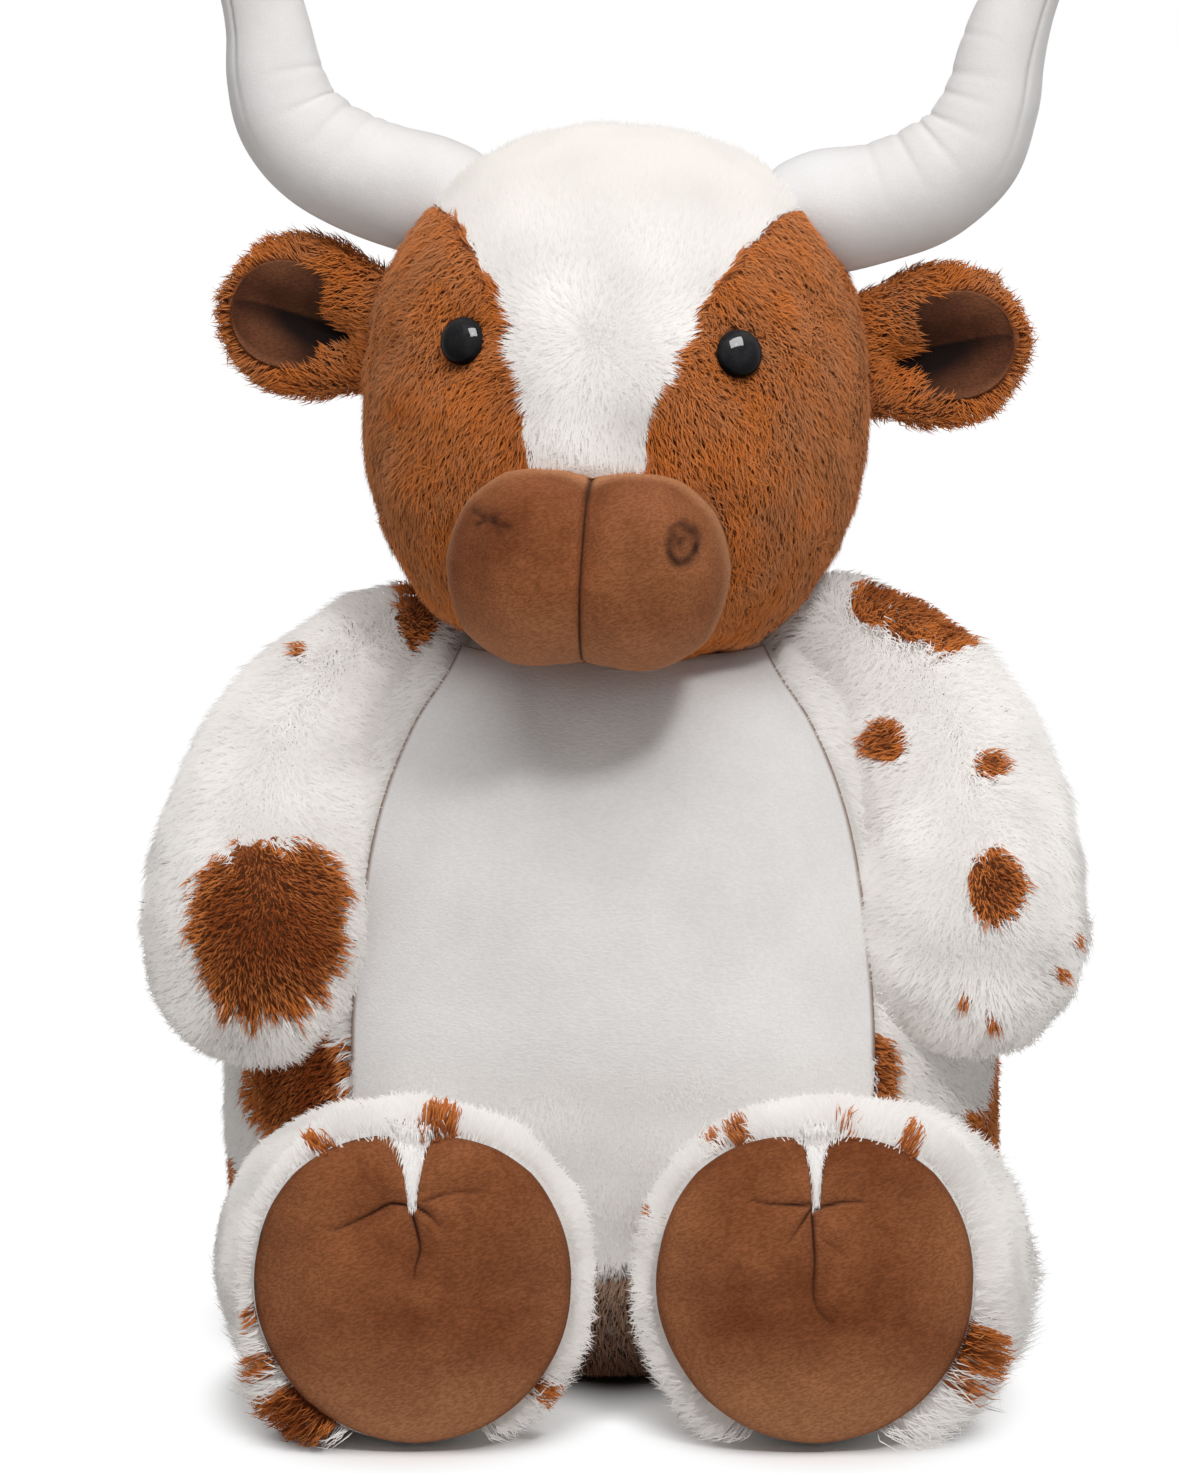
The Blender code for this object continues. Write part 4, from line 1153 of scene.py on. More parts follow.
# %% Arm pile
ARM_PILE_HEIGHT, ARM_PILE_SWEEP = 0.0056, 0.0052
# none of it grows this near the head's middle
ARM_HEAD_HIDES = 0.0745
# longest move off the torso that still lets a lock stand there
PRESSED = 0.0012
# how much longer the pile stands on the outer side of the shoulder
SHOULDER_PUFF = {"left": 0.60, "right": 0.05}
# below this height the arm's locks are kept out of the torso
ARM_FREE_FROM = 0.19


def arm_pile(word, arm):
    """Pile of an arm, with none where it is pressed to the torso or hidden by the head."""
    side = TOY_SIDES[word]
    roots, facings = scatter(arm, PER_CM2, 121)
    hidden = np.linalg.norm(in_head(roots), axis=1) < ARM_HEAD_HIDES
    pushed = np.linalg.norm(push_from_torso(roots, 0.002) - roots, axis=1)
    keep = ~hidden & (pushed < PRESSED)
    roots, facings = roots[keep], facings[keep]
    shoulder = ramp(roots[:, 2], 0.150, 0.180) * np.clip(facings[:, 0] * side, 0, 1)
    height = ARM_PILE_HEIGHT * (1 + SHOULDER_PUFF[word] * shoulder)
    locks, _ = grow(roots, facings, falling(facings), height, ARM_PILE_SWEEP, 122 + side)
    outside = push_from_torso(locks.reshape(-1, 3), LIMB_GAP).reshape(locks.shape)
    locks = np.where((roots[:, 2] < ARM_FREE_FROM)[:, None, None], outside, locks)
    spotted_coat(f"arm_{word}_pile", locks, facings, f"arm_{word}", 124, waves=0.16)


# %% Leg pile
# height and sweep of the pile, and what they gain where it flares to the sides
LEG_PILE, LEG_FLARE = (0.0062, 0.0045), (0.0040, 0.0050)
LEG_FLOOR_GAP = 0.0005
# how much longer the pile is on a foot's outer side: all of it, and low and near the sole
OUTER_PUFF = {"left": (0.55, 0.0), "right": (-0.50, 0.90)}


def leg_roots(word, leg):
    """Where pile grows on a leg: not in the hip, on the sole, against the torso or under the foot."""
    middle = sole_middle(word)
    roots, facings = scatter(leg, PER_CM2, 131)
    hidden = np.linalg.norm(roots - hip_place(word), axis=1) < HIP_RADIUS - 0.002
    pushed = np.linalg.norm(push_from_torso(roots, 0.003) - roots, axis=1)
    away = roots - middle
    rim = sole_reach(away) - 0.0018 - toe_drop(away[:, 0], away[:, 2])
    on_sole = (roots[:, 1] < middle[1] + 0.0026) & (np.hypot(away[:, 0], away[:, 2]) < rim)
    under = (roots[:, 2] < 0.0060) & (away[:, 1] < 0.016)
    keep = ~hidden & (pushed < PRESSED) & ~on_sole & ~under & (roots[:, 2] > 0.0012)
    return roots[keep], facings[keep]


def off_the_sole(locks, middle):
    """Locks whose points would lie over the front of a sole, moved out to its rim."""
    away = locks - middle
    spoke = np.hypot(away[:, :, 0], away[:, :, 2])
    edge = sole_reach(away) + 0.0006
    over = (away[:, :, 1] < 0.004) & (spoke < edge) & (away[:, :, 2] < 0.034)
    out = np.where(over, edge / np.maximum(spoke, 0.02), 1)[:, :, None]
    return middle + away * np.concatenate((out, np.ones_like(out), out), 2)


def leg_pile(word, leg):
    """Pile of a leg: it stands out round the sole, and flares to the sides low down."""
    side, middle = TOY_SIDES[word], sole_middle(word)
    roots, facings = leg_roots(word, leg)
    away = roots - middle
    near_rim = ramp(away[:, 1:2], 0.008, 0)
    comb = unit(away * FLAT_WAYS) * 0.8 + np.array((0, 0.6, -0.25)) * (1 - 1.3 * near_rim)
    flare = ramp(-away[:, 2], 0, 0.028) * ramp(np.abs(away[:, 0]), 0, 0.022)
    flare = flare * np.where(away[:, 0] * side > 0, 1, 0.5)
    comb = comb + np.array((1.6, 0, 0)) * (np.sign(away[:, 0]) * flare)[:, None]
    low_front = ramp(-away[:, 2], 0.009, 0.025) * np.clip(1.2 - away[:, 1] / 0.030, 0, 1)
    everywhere, low_puff = OUTER_PUFF[word]
    fuller = 1 + np.clip(facings[:, 0] * side, 0, 1) * (low_puff * low_front + everywhere)
    height, sweep = [start + gain * flare for start, gain in zip(LEG_PILE, LEG_FLARE)]
    locks, _ = grow(roots, facings, comb, height * fuller, sweep, 132 + side)
    locks = off_the_sole(locks, middle)
    locks[:, :, 2] = np.maximum(locks[:, :, 2], LEG_FLOOR_GAP)
    near_sole = ramp(away[:, 1], 0.030, 0)
    facings = unit(facings + np.array((0, -0.8, 0)) * near_sole[:, None])
    rise = 1 - np.clip(near_sole * 1.6, 0, 1)
    spotted_coat(f"leg_{word}_pile", locks, facings, f"leg_{word}", 134, rise=rise)


# %% Both arms and both legs
for word in TOY_SIDES:
    arm = limb_skin(f"arm_{word}", arm_route(word), (0, 1, 0), SHOULDERS[word], SHOULDER_RADIUS)
    arm_pile(word, arm)
    leg = limb_skin(f"leg_{word}", leg_route(word), (0, 0, 1), hip_place(word), HIP_RADIUS)
    leg_pile(word, leg)

# %% [markdown]
# ## Suede
#
# The muzzle and the soles are a knitted suede with a fine grain. Its stitched lines are darker, and
# its folds, creases and dents get a painted shade; the pieces store both as a shade. It is lighter
# where it is worn by rubbing, and the muzzle's rim gets a painted sheen.

# %% Suede materials
def suede_material(name, pale, deep, dark, rub_and_sheen_colour, grain, turn):
    made, tree, shader = new_material(name, 0.8, sheen=0.06, sheen_roughness=0.4, specular=0.12)
    shader.inputs["Sheen Tint"].default_value = linear(255, 214, 180)
    nap = placed(tree, NAP, Grain=grain, Waves=grain * 0.2, Stretch=0.42, Turn=turn)
    base = two_toned(tree, 30.0, 0.2, deep, pale)
    base = mixed(tree, ranged(tree, stored(tree, "rub_and_sheen"), 0, 1), base, rub_and_sheen_colour)
    colour = shaded(tree, grained(tree, nap, 0.6, base, (0.52, 0.44, 0.38, 1)), dark)
    tree.links.new(colour, shader.inputs["Base Color"])
    raise_surface(tree, shader, nap.outputs["Height"], 0.9, 0.0008)
    return made


# pale, deep, dark for stitching and for the painted shade of folds, and light for worn places and for the
# painted sheen of the muzzle's rim
BROWNS = (linear(156, 96, 60), linear(118, 63, 32), linear(40, 18, 12), linear(192, 134, 94))
DARK_BROWNS = (linear(116, 72, 48), linear(82, 46, 30), linear(18, 8, 6), linear(146, 96, 68))
SUEDE = suede_material("brown suede", *BROWNS, 1700.0, 0.35)
LINING = suede_material("dark brown suede", *DARK_BROWNS, 2100.0, 0.0)
print("suedes", SUEDE.name, LINING.name)


# %% Pillows
def dist_to_line(x, z, line):
    """Distance from each point to a line of (x, z) points."""
    best = np.full(len(x), 1.0)
    for (x0, z0), (x1, z1) in zip(line, line[1:]):
        dx, dz = x1 - x0, z1 - z0
        t = np.clip(((x - x0) * dx + (z - z0) * dz) / (dx * dx + dz * dz), 0, 1)
        best = np.minimum(best, np.hypot(x - x0 - t * dx, z - z0 - t * dz))
    return best


# rings of the pillow's side: drawn in to this share, and this share of the way back
SKIRT_ROWS = ((0.995, 0.35), (0.96, 0.75), (0.90, 1.0))


def pillow(name, outline, bulge, skirt, columns):
    """Front-bulging pillow over an outline, in its own directions: x across, -y forward, z up.
    outline(turn) gives the radius in each direction, bulge(far) the height from the middle to the
    rim, and skirt how far its side reaches back. The points are crowded to the middle seam."""
    spread = np.linspace(-1, 1, columns)
    spread = 0.45 * spread + 0.55 * spread**3
    a, b = np.meshgrid(spread / np.abs(spread).max(), np.linspace(-1, 1, columns))
    a, b = a.ravel(), b.ravel()
    x, z = a * np.sqrt(1 - b * b / 2), b * np.sqrt(1 - a * a / 2)
    radius = outline(np.arctan2(z, x))
    points = np.stack((x * radius, -bulge(np.hypot(x, z)), z * radius), 1)
    faces, last = grid_faces(columns, columns), grid_rim(columns, columns)
    edge = points[last]
    for draw_in, back in SKIRT_ROWS:
        now = list(range(len(points), len(points) + len(edge)))
        ring = edge * np.array((draw_in, 1, draw_in)) + np.array((0, skirt * back, 0))
        points = np.concatenate((points, ring))
        faces += list(zip(last, now, now[1:] + now[:1], last[1:] + last[:1]))
        last = now
    points = np.concatenate((points, ring.mean(0, keepdims=True)))
    faces += [(a, len(points) - 1, b) for a, b in zip(last, last[1:] + last[:1])]
    return mesh_piece(name, points, faces)


# %% [markdown]
# ## Soles
#
# Each sole is a round suede pad, puffed by its filling. A short wedge between two toes is sewn in
# at the top, and the cloth puckers into creases that fan out from the end of that seam. The
# creases are pressed into the points of the pad, so that they catch the light as real ones do.
# Each crease also has a dark stitched line, and painted shade darkens the dent round it, the
# edges of the cleft and the rim where the pile meets the pad.

# %% Sole pads
# creases from the end of the cleft, in millimetres right of and above it as seen from the front
CREASES = {
    "right": (
        (((-1, 0.3), (-5.5, 0.8), (-10, -1.3), (-14.6, -3.4), (-20.5, -5.7)), 1.0),
        (((2.6, 1.6), (9.4, 3.9), (17.7, 4.7)), 0.6),
        (((1.3, 0), (4.2, -1.6), (7.5, -4.7)), 0.9),
        (((0, -1.8), (1.3, -6.5), (2.1, -10.9), (0.8, -15.6), (0.5, -18.5)), 1.0),
    ),
    "left": (
        (((-1.3, 0.9), (-11.2, 1.0), (-17.2, 2.0)), 0.9),
        (((1, 0.1), (6.5, 1.4), (12.2, 1.6)), 0.9),
        (((-1.6, -0.5), (-4.2, -4.3), (-7.0, -8.1)), 0.8),
        (((1.8, -8.1), (4.9, -10.4), (8.3, -12.9)), 0.45),
        (((-1.3, 0.3), (-0.5, -12), (0.8, -27.3), (3.8, -30.2)), 0.9),
    ),
}
CLEFT_HALF = {"right": 0.0031, "left": 0.0019}
CLEFT_END = SOLE_RADIUS - CLEFT_DEEP
SOLE_BULGE, SOLE_FLAT = 0.0085, 2.6
# depth of the fold in the cleft, and of the rounding of the toes beside it
CLEFT_FOLD, TOES_ROUND = 0.0110, 0.0022


def sole_bulge(far):
    return SOLE_BULGE * np.sqrt(np.clip(1 - far**SOLE_FLAT, 0, 1)) + 0.0010


def cleft_half(word, z):
    """Half width of the cleft at each height, wider where the toes round off at the rim."""
    share = np.clip((z - CLEFT_END) / CLEFT_DEEP, 0, 1.1)
    return 0.0004 + CLEFT_HALF[word] * share * (0.75 + 0.45 * share**5)


def crease_marks(word, x, z):
    """Depth and shade of a sole's creases: a stitched line in a wider dent, fading to its far end."""
    depth, shade = np.zeros(len(x)), np.zeros(len(x))
    for line, strength in CREASES[word]:
        route = [(cx * MM, CLEFT_END + cz * MM) for cx, cz in smooth_rows(line, 16)]
        near = dist_to_line(x, z, route)
        length = math.dist(route[0], route[-1])
        fade = np.clip(1.25 - np.hypot(x - route[0][0], z - route[0][1]) / length * 0.75, 0, 1)
        pressed = 0.0010 * bell(near, 0.0006) + 0.0016 * bell(near, 0.0042)
        depth = np.maximum(depth, strength * fade * pressed)
        # the thin line is dark stitching; the wider shade over the dent is painted shade
        shade = np.maximum(shade, strength * np.clip(fade, 0.4, 1) * bell(near, 0.00042))
        shade = np.maximum(shade, 0.26 * strength * fade * bell(near, 0.0034))
    return depth, shade


def sole_pad(word):
    pad = pillow(f"sole_{word}", sole_outline, sole_bulge, 0.0030, 140)
    x, y, z = places_of(pad).T
    front = y < 0
    # the cleft is a deep fold from the top rim down to its end, and the toes round off beside it
    opening = cleft_half(word, z)
    above_end = ramp(z, CLEFT_END - 0.001, CLEFT_END + 0.003)
    cleft = np.clip(1 - np.abs(x) / (opening + 0.0006), 0, 1) * above_end
    toes = bell(x, 0.0085) * ramp(z, CLEFT_END, CLEFT_END + 0.012)
    crease, shade = crease_marks(word, x, z)
    depth = CLEFT_FOLD * np.sqrt(cleft) + TOES_ROUND * toes + crease
    # painted shade along the edges of the cleft's fold
    shade = np.maximum(shade, 0.6 * above_end * bell(np.abs(x) - opening, 0.0005))
    flat = np.stack((x, y * 0, z), 1)
    depth += lumps(flat, 0.016, 141 + TOY_SIDES[word]) * 0.0008 + lumps(flat, 0.006, 143) * 0.00015
    move_points(pad, np.stack((x, y + depth * front, z - toe_drop(x, z)), 1) + sole_middle(word))
    # painted shade round the rim, where the pile meets the pad
    rim = bell(np.hypot(x, z) - sole_reach(flat), 0.0012)
    paint(pad, "shade", np.clip(shade + 0.25 * rim, 0, 1))
    worn = np.maximum(0.85 * ramp(-z, 0.004, 0.042), 0.30 * ramp(np.abs(x), 0.016, 0.036))
    paint(pad, "rub_and_sheen", worn * (1 - 0.5 * rim))
    pad.data.materials.append(SUEDE)
    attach(pad, f"leg_{word}")
    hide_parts(f"hoof_pad_{word}")


# %% Wedges between the toes, and both soles
# height and sweep of a wedge's pile at its foot, and what they gain to the rim
WEDGE_PILE, WEDGE_GAIN = (0.0007, 0.0026), (0.0036, 0.0006)


def cleft_wedge(word):
    """White wedge sunk in the cleft, with a little pile that grows longer to the rim."""

    def cleft_place(across, up, layer):
        z = CLEFT_END - 0.0002 + (CLEFT_DEEP + 0.0044) * up
        x = across * (cleft_half(word, z) + 0.0003)
        ahead = SOLE_BULGE * np.sqrt(np.clip(1 - (z / SOLE_RADIUS) ** SOLE_FLAT, 0, 1))
        sunk = 0.0014 - 0.0008 * ramp(z, 0.034, 0.043) ** 2 + 0.0008 * across**2
        return np.stack((x, sunk - ahead + 0.0012 * layer, z - toe_drop(x, z)), 1) + sole_middle(word)

    wedge = sheet_piece(f"cleft_{word}_cloth", 13, 31, cleft_place)
    wedge.data.materials.append(SHORT_PILE)
    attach(wedge, f"leg_{word}")
    roots, facings = scatter(wedge, 350, 145)
    ahead = facings[:, 1] < -0.3
    roots, facings = roots[ahead], facings[ahead]
    upper = ramp(roots[:, 2] - sole_middle(word)[2], 0.034, 0.042)
    down = np.tile((0, 0, -1.0), (len(roots), 1))
    height, sweep = [start + gain * upper for start, gain in zip(WEDGE_PILE, WEDGE_GAIN)]
    locks, _ = grow(roots, facings, down, height, sweep, 146, stray=0.10, sway=0.05)
    tones = np.full(len(locks), 0.74)
    name, body = f"cleft_{word}_pile", f"leg_{word}"
    coat = pile_piece(name, locks, facings, tones, PILE_WIDTH, body, WHITE_PILE, 147)


for word in TOY_SIDES:
    sole_pad(word)
    cleft_wedge(word)
print("sole width", round(SOLE_RADIUS * 2 / MM, 1), "mm")

# %% [markdown]
# ## Head
#
# The head is one round bag in two colours: rust at the sides, and a white blaze that is wide over
# the crown and narrows to the muzzle. The brushing runs out from between the eyes, so that the
# cheeks part to the sides and the chin hangs.

# %% Head skin and its colours
# edges of the blaze in the front view: height above the aim and place right of it, in millimetres
BLAZE_LEFT = (
    *((73, -14), (75, -15), (77.5, -16.5), (82, -17.5), (96, -20), (110, -23)),
    *((127, -26), (138.6, -32), (148.6, -38), (153, -46), (158, -60), (200, -70)),
)
BLAZE_RIGHT = (
    *((73, 14), (79, 17.4), (87, 16.8), (98.7, 21.7), (113, 28.8), (127, 34.5)),
    *((137.2, 41.6), (144.4, 50.2), (148.0, 54.4), (151, 60), (158, 70), (200, 75)),
)
BLAZE_FROM = 70.5
# behind the crown: share of the head's half height, share of the white's greatest half width
CROWN_ROWS = (
    *((-0.37, 0.10), (-0.33, 0.32), (-0.15, 0.34), (0.00, 0.40), (0.20, 0.50)),
    *((0.42, 0.61), (0.58, 0.74), (0.70, 0.95), (0.85, 1.00)),
)
CROWN_HALF = 0.045
EYE_SPREAD, EYE_RISE, EYE_RADIUS = 0.0370, 0.0197, 0.0066
# how many rings the cloth has, their sides, and how far it lies outside the solid's size
HEAD_CLOTH = (96, 144, -0.0008)


def on_blaze(points):
    """True where the head's pile is white: by the view in front, and by its width behind."""
    local, flat = in_head(points), seen(points)
    left, right = [np.interp(flat[:, 1], *zip(*edge)) for edge in (BLAZE_LEFT, BLAZE_RIGHT)]
    ragged = 1.1 * lumps(points, 0.005, 151)
    in_view = (flat[:, 0] > left + ragged) & (flat[:, 0] < right + ragged)
    in_view &= flat[:, 1] > BLAZE_FROM + ragged
    half = CROWN_HALF * np.interp(local[:, 2] / HEAD_SIZE[2], *zip(*CROWN_ROWS), left=0)
    behind = np.abs(local[:, 0]) < half + ragged * MM
    return np.where(local[:, 1] < 0.012, in_view, behind)


head = ring_piece("head_skin_cloth", head_rings(*HEAD_CLOTH))
paint(head, "rust", 1.0 - on_blaze(places_of(head)))
head.data.materials.append(GROUND)
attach(head, "head")
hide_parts("head_skin", "head_stuffing")


def on_face(x, z):
    """Place on the head's front and the direction square to it, in the head's own directions."""
    wide, deep, high = HEAD_SIZE
    y = -deep * (1 - abs(x / wide) ** FULLNESS - abs(z / high) ** FULLNESS) ** (1 / FULLNESS)
    bends = [math.copysign(abs(v / s) ** (FULLNESS - 1) / s, v) for v, s in ((x, wide), (y, deep), (z, high))]
    return np.array((x, y, z)), unit(np.array(bends))


EYES = {word: on_face(side * EYE_SPREAD, EYE_RISE) for word, side in TOY_SIDES.items()}

# %% Brushing of the head
MUZZLE_MIDDLE = np.array((0, -0.0625, -0.0375))
MUZZLE_HALF = np.array((0.0385, 0.0280, 0.0262))
# the rust pile is brushed away from this point between the eyes, and hangs
PART_POINT, HANG = np.array((0.0, 0.0, 0.012)), 0.022
HEAD_PILE_WIDTH = PILE_WIDTH * 0.88


def head_comb(local, white):
    """Which way the head's pile is brushed: rust away from the eyes, white parted down the middle."""
    away = (local - PART_POINT) * np.array((1.0, 0.55, 1.0))
    away[:, 2] -= HANG
    swing = np.pi * (ramp(local[:, 2], -0.005, 0.045) - 0.5)
    up = np.where(local[:, 1] > 0.015, -0.6, np.sin(swing) * 0.7 - 0.12)
    out = np.cos(swing) * np.clip(local[:, 0] / 0.020, -1, 1)
    parted = np.stack((out, np.clip(np.sin(swing), 0, 1), up), 1)
    return np.where(white[:, None], parted, unit(away)) @ HEAD_AXES.T


def muzzle_span(local, room):
    """Distance from the muzzle's middle, 1 at its surface with the given room."""
    return np.linalg.norm((local - MUZZLE_MIDDLE) / (MUZZLE_HALF + room), axis=1)


def clear_of_eyes(tips):
    """False where a lock's tip would hang over an eye."""
    clear = np.ones(len(tips), bool)
    for place, out in EYES.values():
        away = tips - place
        beside = np.linalg.norm(away - out * (away @ out)[:, None], axis=1)
        clear &= (beside > EYE_RADIUS - 0.0006) | (np.abs(away @ out) > 0.02)
    return clear


# %% Head pile
# height and sweep of the white and of the rust pile
HEAD_WHITE, HEAD_RUST = (0.0050, 0.0045), (0.0044, 0.0046)
roots, facings = scatter(head, PER_CM2 * 1.5, 161)
local = in_head(roots)
white = on_blaze(roots)
comb = head_comb(local, white)
eye_gap = np.min([np.linalg.norm(local - place, axis=1) for place, _ in EYES.values()], axis=0)
horn_gap = np.min([np.linalg.norm(local - horn_root(word), axis=1) for word in TOY_SIDES], axis=0)
keep = (eye_gap > EYE_RADIUS - 0.0004) & (muzzle_span(local, 0.0005) > 1.0) & (horn_gap > HORN_RADIUS - 0.001)
# the pile is short round the eyes and under the chin
short = 0.25 + 0.75 * ramp(eye_gap, EYE_RADIUS, EYE_RADIUS + 0.010)
chin = ramp(-local[:, 2], 0.050, 0.060) * ramp(np.abs(local[:, 0]), 0.042, 0.032)
short = short * np.where(local[:, 1] < 0, 1 - 0.7 * chin, 1)
roots, facings, comb, short, white = roots[keep], facings[keep], comb[keep], short[keep], white[keep]
height, sweep = [np.where(white, *pair) for pair in zip(HEAD_WHITE, HEAD_RUST)]
height, sweep = height * short, sweep * (0.4 + 0.6 * short)
locks, leader = grow(roots, facings, comb, height, sweep, 162, pull=0.12, stray=0.24, sway=0.16)
local_tips = in_head(locks[:, 2])
clear = clear_of_eyes(local_tips) & (muzzle_span(local_tips, -0.001) > 1.0)
white = on_blaze(locks[:, 0] * 0.45 + locks[:, 2] * 0.55)

# %% Tones of the head
# rust is dullest at the sides and alike within a tuft; white is painted duller on top, a painted shade where
# the light falls most
draw = np.random.default_rng(163)
side_on = ramp(np.abs(in_head(roots)[:, 0]), 0.030, 0.065)
rusts = 0.70 - 0.62 * side_on + 0.22 * lumps(roots, 0.010, 164) + draw.normal(size=len(roots)) * 0.16
rusts += draw.normal(size=len(roots))[leader] * 0.12
crown_tones_shaded_on_top = 0.74 + 0.08 * draw.normal(size=len(roots)) - 0.75 * ramp(facings[:, 2], 0.30, 0.80)
facings = turned_front(facings)
for name, mine, tone, material, slot in (
    ("head_pile_left", ~white & (roots[:, 0] >= 0), rusts, RUST_PILE, "rust_fur"),
    ("head_pile_right", ~white & (roots[:, 0] < 0), rusts, RUST_PILE, "rust_fur"),
    ("crown_pile", white, crown_tones_shaded_on_top, WHITE_PILE, "white_spotted_fur"),
):
    mine = mine & clear
    coat = pile_piece(name, locks[mine], facings[mine], tone[mine], HEAD_PILE_WIDTH, "head", material, 165)
    if name == "crown_pile":
        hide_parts("crown_panel")

# %% [markdown]
# ## Muzzle
#
# The muzzle is a suede pillow drawn in down the middle by a seam, which makes two lobes. The upper
# half of the seam lies in a soft hollow. Each lobe has a small sewn nostril. All of them are
# pressed into the points of the pillow, and the same lines store the shade for the suede.

# %% Muzzle form
MUZZLE_FRONT, MUZZLE_BULGE = 0.0905, 0.0235
# reach of the muzzle in each direction, in degrees from the toy's left and in millimetres
MUZZLE_TURNS = (-180, -150, -125, -105, -90, -75, -55, -30, 0, 25, 45, 65, 80, 90, 100, 115, 135, 155, 180)
MUZZLE_REACH = (
    *(38.2, 38.0, 33.5, 28.0, 26.0, 28.0, 33.5, 38.0, 38.2),
    *(36.6, 33.2, 27.6, 24.4, 23.0, 24.4, 27.6, 33.2, 36.6, 38.2),
)


def muzzle_outline(turn):
    return np.interp(np.degrees(turn), MUZZLE_TURNS, MUZZLE_REACH) * MM


def muzzle_bulge(far):
    return MUZZLE_BULGE * np.sqrt(np.clip(1 - far**2.5, 0, 1))


muzzle = pillow("muzzle_suede", muzzle_outline, muzzle_bulge, 0.020, 170)

# %% Seam and nostrils
# the left nostril is a sewn ring; the right one is two short stitched darts with a dent below
NOSTRIL_MIDDLE, NOSTRIL_HALF = (0.0265, 0.0085), (0.0044, 0.0058)
DARTS = (
    ((-0.0300, 0.0140), (-0.0255, 0.0122), (-0.0205, 0.0105)),
    ((-0.0290, 0.0105), (-0.0240, 0.0132), (-0.0225, 0.0095)),
)
DENT = ((-0.0265, 0.0100), (-0.0275, 0.0030), (-0.0260, -0.0060))
# depth of the hollow round the seam low down, what it gains above, and the depth of the seam in it
HOLLOW, HOLLOW_GAIN, SEAM_DENT = 0.0010, 0.0030, 0.0012
points = places_of(muzzle)
x, y, z = points.T
front = ramp(-y, 0, 0.004)
rough = lumps(points, 0.0022, 172) * 0.18
ring = np.hypot((x - NOSTRIL_MIDDLE[0]) / NOSTRIL_HALF[0], (z - NOSTRIL_MIDDLE[1]) / NOSTRIL_HALF[1])
dart = np.min([dist_to_line(x, z, line) for line in DARTS], axis=0)
dent = dist_to_line(x, z, DENT)
depth = bell(x, 0.0050) * (HOLLOW + HOLLOW_GAIN * ramp(z, -0.004, 0.008)) + SEAM_DENT * bell(x, 0.0009)
depth += lumps(points, 0.014, 171) * 0.0003
depth += 0.0009 * bell(ring, 1) + 0.0010 * bell(dart, 0.0014) + 0.0005 * bell(dent, 0.0030)
# the seam, the nostril's ring and the darts are dark stitching, and the nostril's middle is darker still; the
# soft shade round the darts and along the dent is painted shade
shades = (
    0.8 * bell(x, 0.00045),
    0.75 * bell(x, 0.0011) * ramp(z, 0.012, 0.020),
    (0.70 + rough) * bell(ring - 0.80, 0.34),
    (0.62 + rough) * bell(ring, 0.55),
    (0.62 + rough) * bell(dart, 0.0008),
    0.34 * bell(dart, 0.0030),
    0.24 * bell(dent, 0.0050),
)
y = y + depth * front
# painted sheen: the muzzle's rim, where the surface turns back, is painted lighter
edge = ramp(y, -0.0105, -0.0015) * ramp(y, 0.0025, 0.0015)
points = np.stack((x, y - (MUZZLE_FRONT - MUZZLE_BULGE), z + MUZZLE_MIDDLE[2]), 1)
move_points(muzzle, from_head(points))
paint(muzzle, "shade", np.clip(np.max(shades, axis=0) * front, 0, 1))
# the bottom and the right side are worn lighter, and the rim adds its painted sheen
worn = np.maximum(0.55 * ramp(-z, 0.004, 0.020), 0.22 * ramp(x, 0, 0.01))
paint(muzzle, "rub_and_sheen", np.maximum(0.9 * edge, worn * front))
muzzle.data.materials.append(SUEDE)
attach(muzzle, "head")
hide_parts("muzzle_skin", "muzzle_stuffing")
print("muzzle", [round(v * 2 / MM, 1) for v in MUZZLE_HALF])

# %% [markdown]
# ## Eyes
#
# A safety eye is a glossy black dome on a shank that passes through the skin. The dome is turned
# on the direction square to the face, and the shine comes from the shader and the lamps.

# %% Eyes
def gloss_material():
    made, tree, shader = new_material("black gloss", 0.05, specular=0.04)
    worn = placed(tree, HANDLED, Size=300.0, Contrast=0.2)
    deep, handled = (0.0008, 0.0008, 0.0010, 1), (0.0016, 0.0015, 0.0015, 1)
    colour = mixed(tree, worn.outputs["Mask"], deep, handled)
    tree.links.new(colour, shader.inputs["Base Color"])
    tree.links.new(ranged(tree, worn.outputs["Mask"], 0, 1, 0.04, 0.06), shader.inputs["Roughness"])
    return made


GLOSS = gloss_material()
DOMES = bpy.data.collections.new("domes")
EYE_HIGH = 0.0046
SHANK_RADIUS, SHANK_LENGTH = 0.0020, 0.0118
# radius and height of each ring: the shank, the flat back, and the dome up to its top
climb = np.linspace(0, np.pi / 2, 20)[:-1]
profile = [(SHANK_RADIUS, -SHANK_LENGTH), (SHANK_RADIUS, -0.0006), (EYE_RADIUS - 0.0004, -0.0004)]
profile += [(EYE_RADIUS * math.cos(c) ** 0.9, EYE_HIGH * math.sin(c)) for c in climb]
profile = np.array(profile)
for word in TOY_SIDES:
    place, out = EYES[word]
    along = np.tile(out, (len(profile), 1))
    across = np.tile(unit(np.cross(out, (0, 0, 1.0))), (len(profile), 1))
    middles = place + out * 0.0004 + along * profile[:, 1:2]
    rings = oval_rings(middles, across, np.cross(across, along), profile[:, 0], profile[:, 0], 2, 48)
    eye = ring_piece(f"eye_{word}_dome", from_head(rings.reshape(-1, 3)).reshape(rings.shape))
    eye.data.materials.append(GLOSS)
    DOMES.objects.link(eye)
    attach(eye, "head")
    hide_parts(f"eye_{word}")
print("eyes", round(EYE_RADIUS * 2 / MM, 1), "mm across")

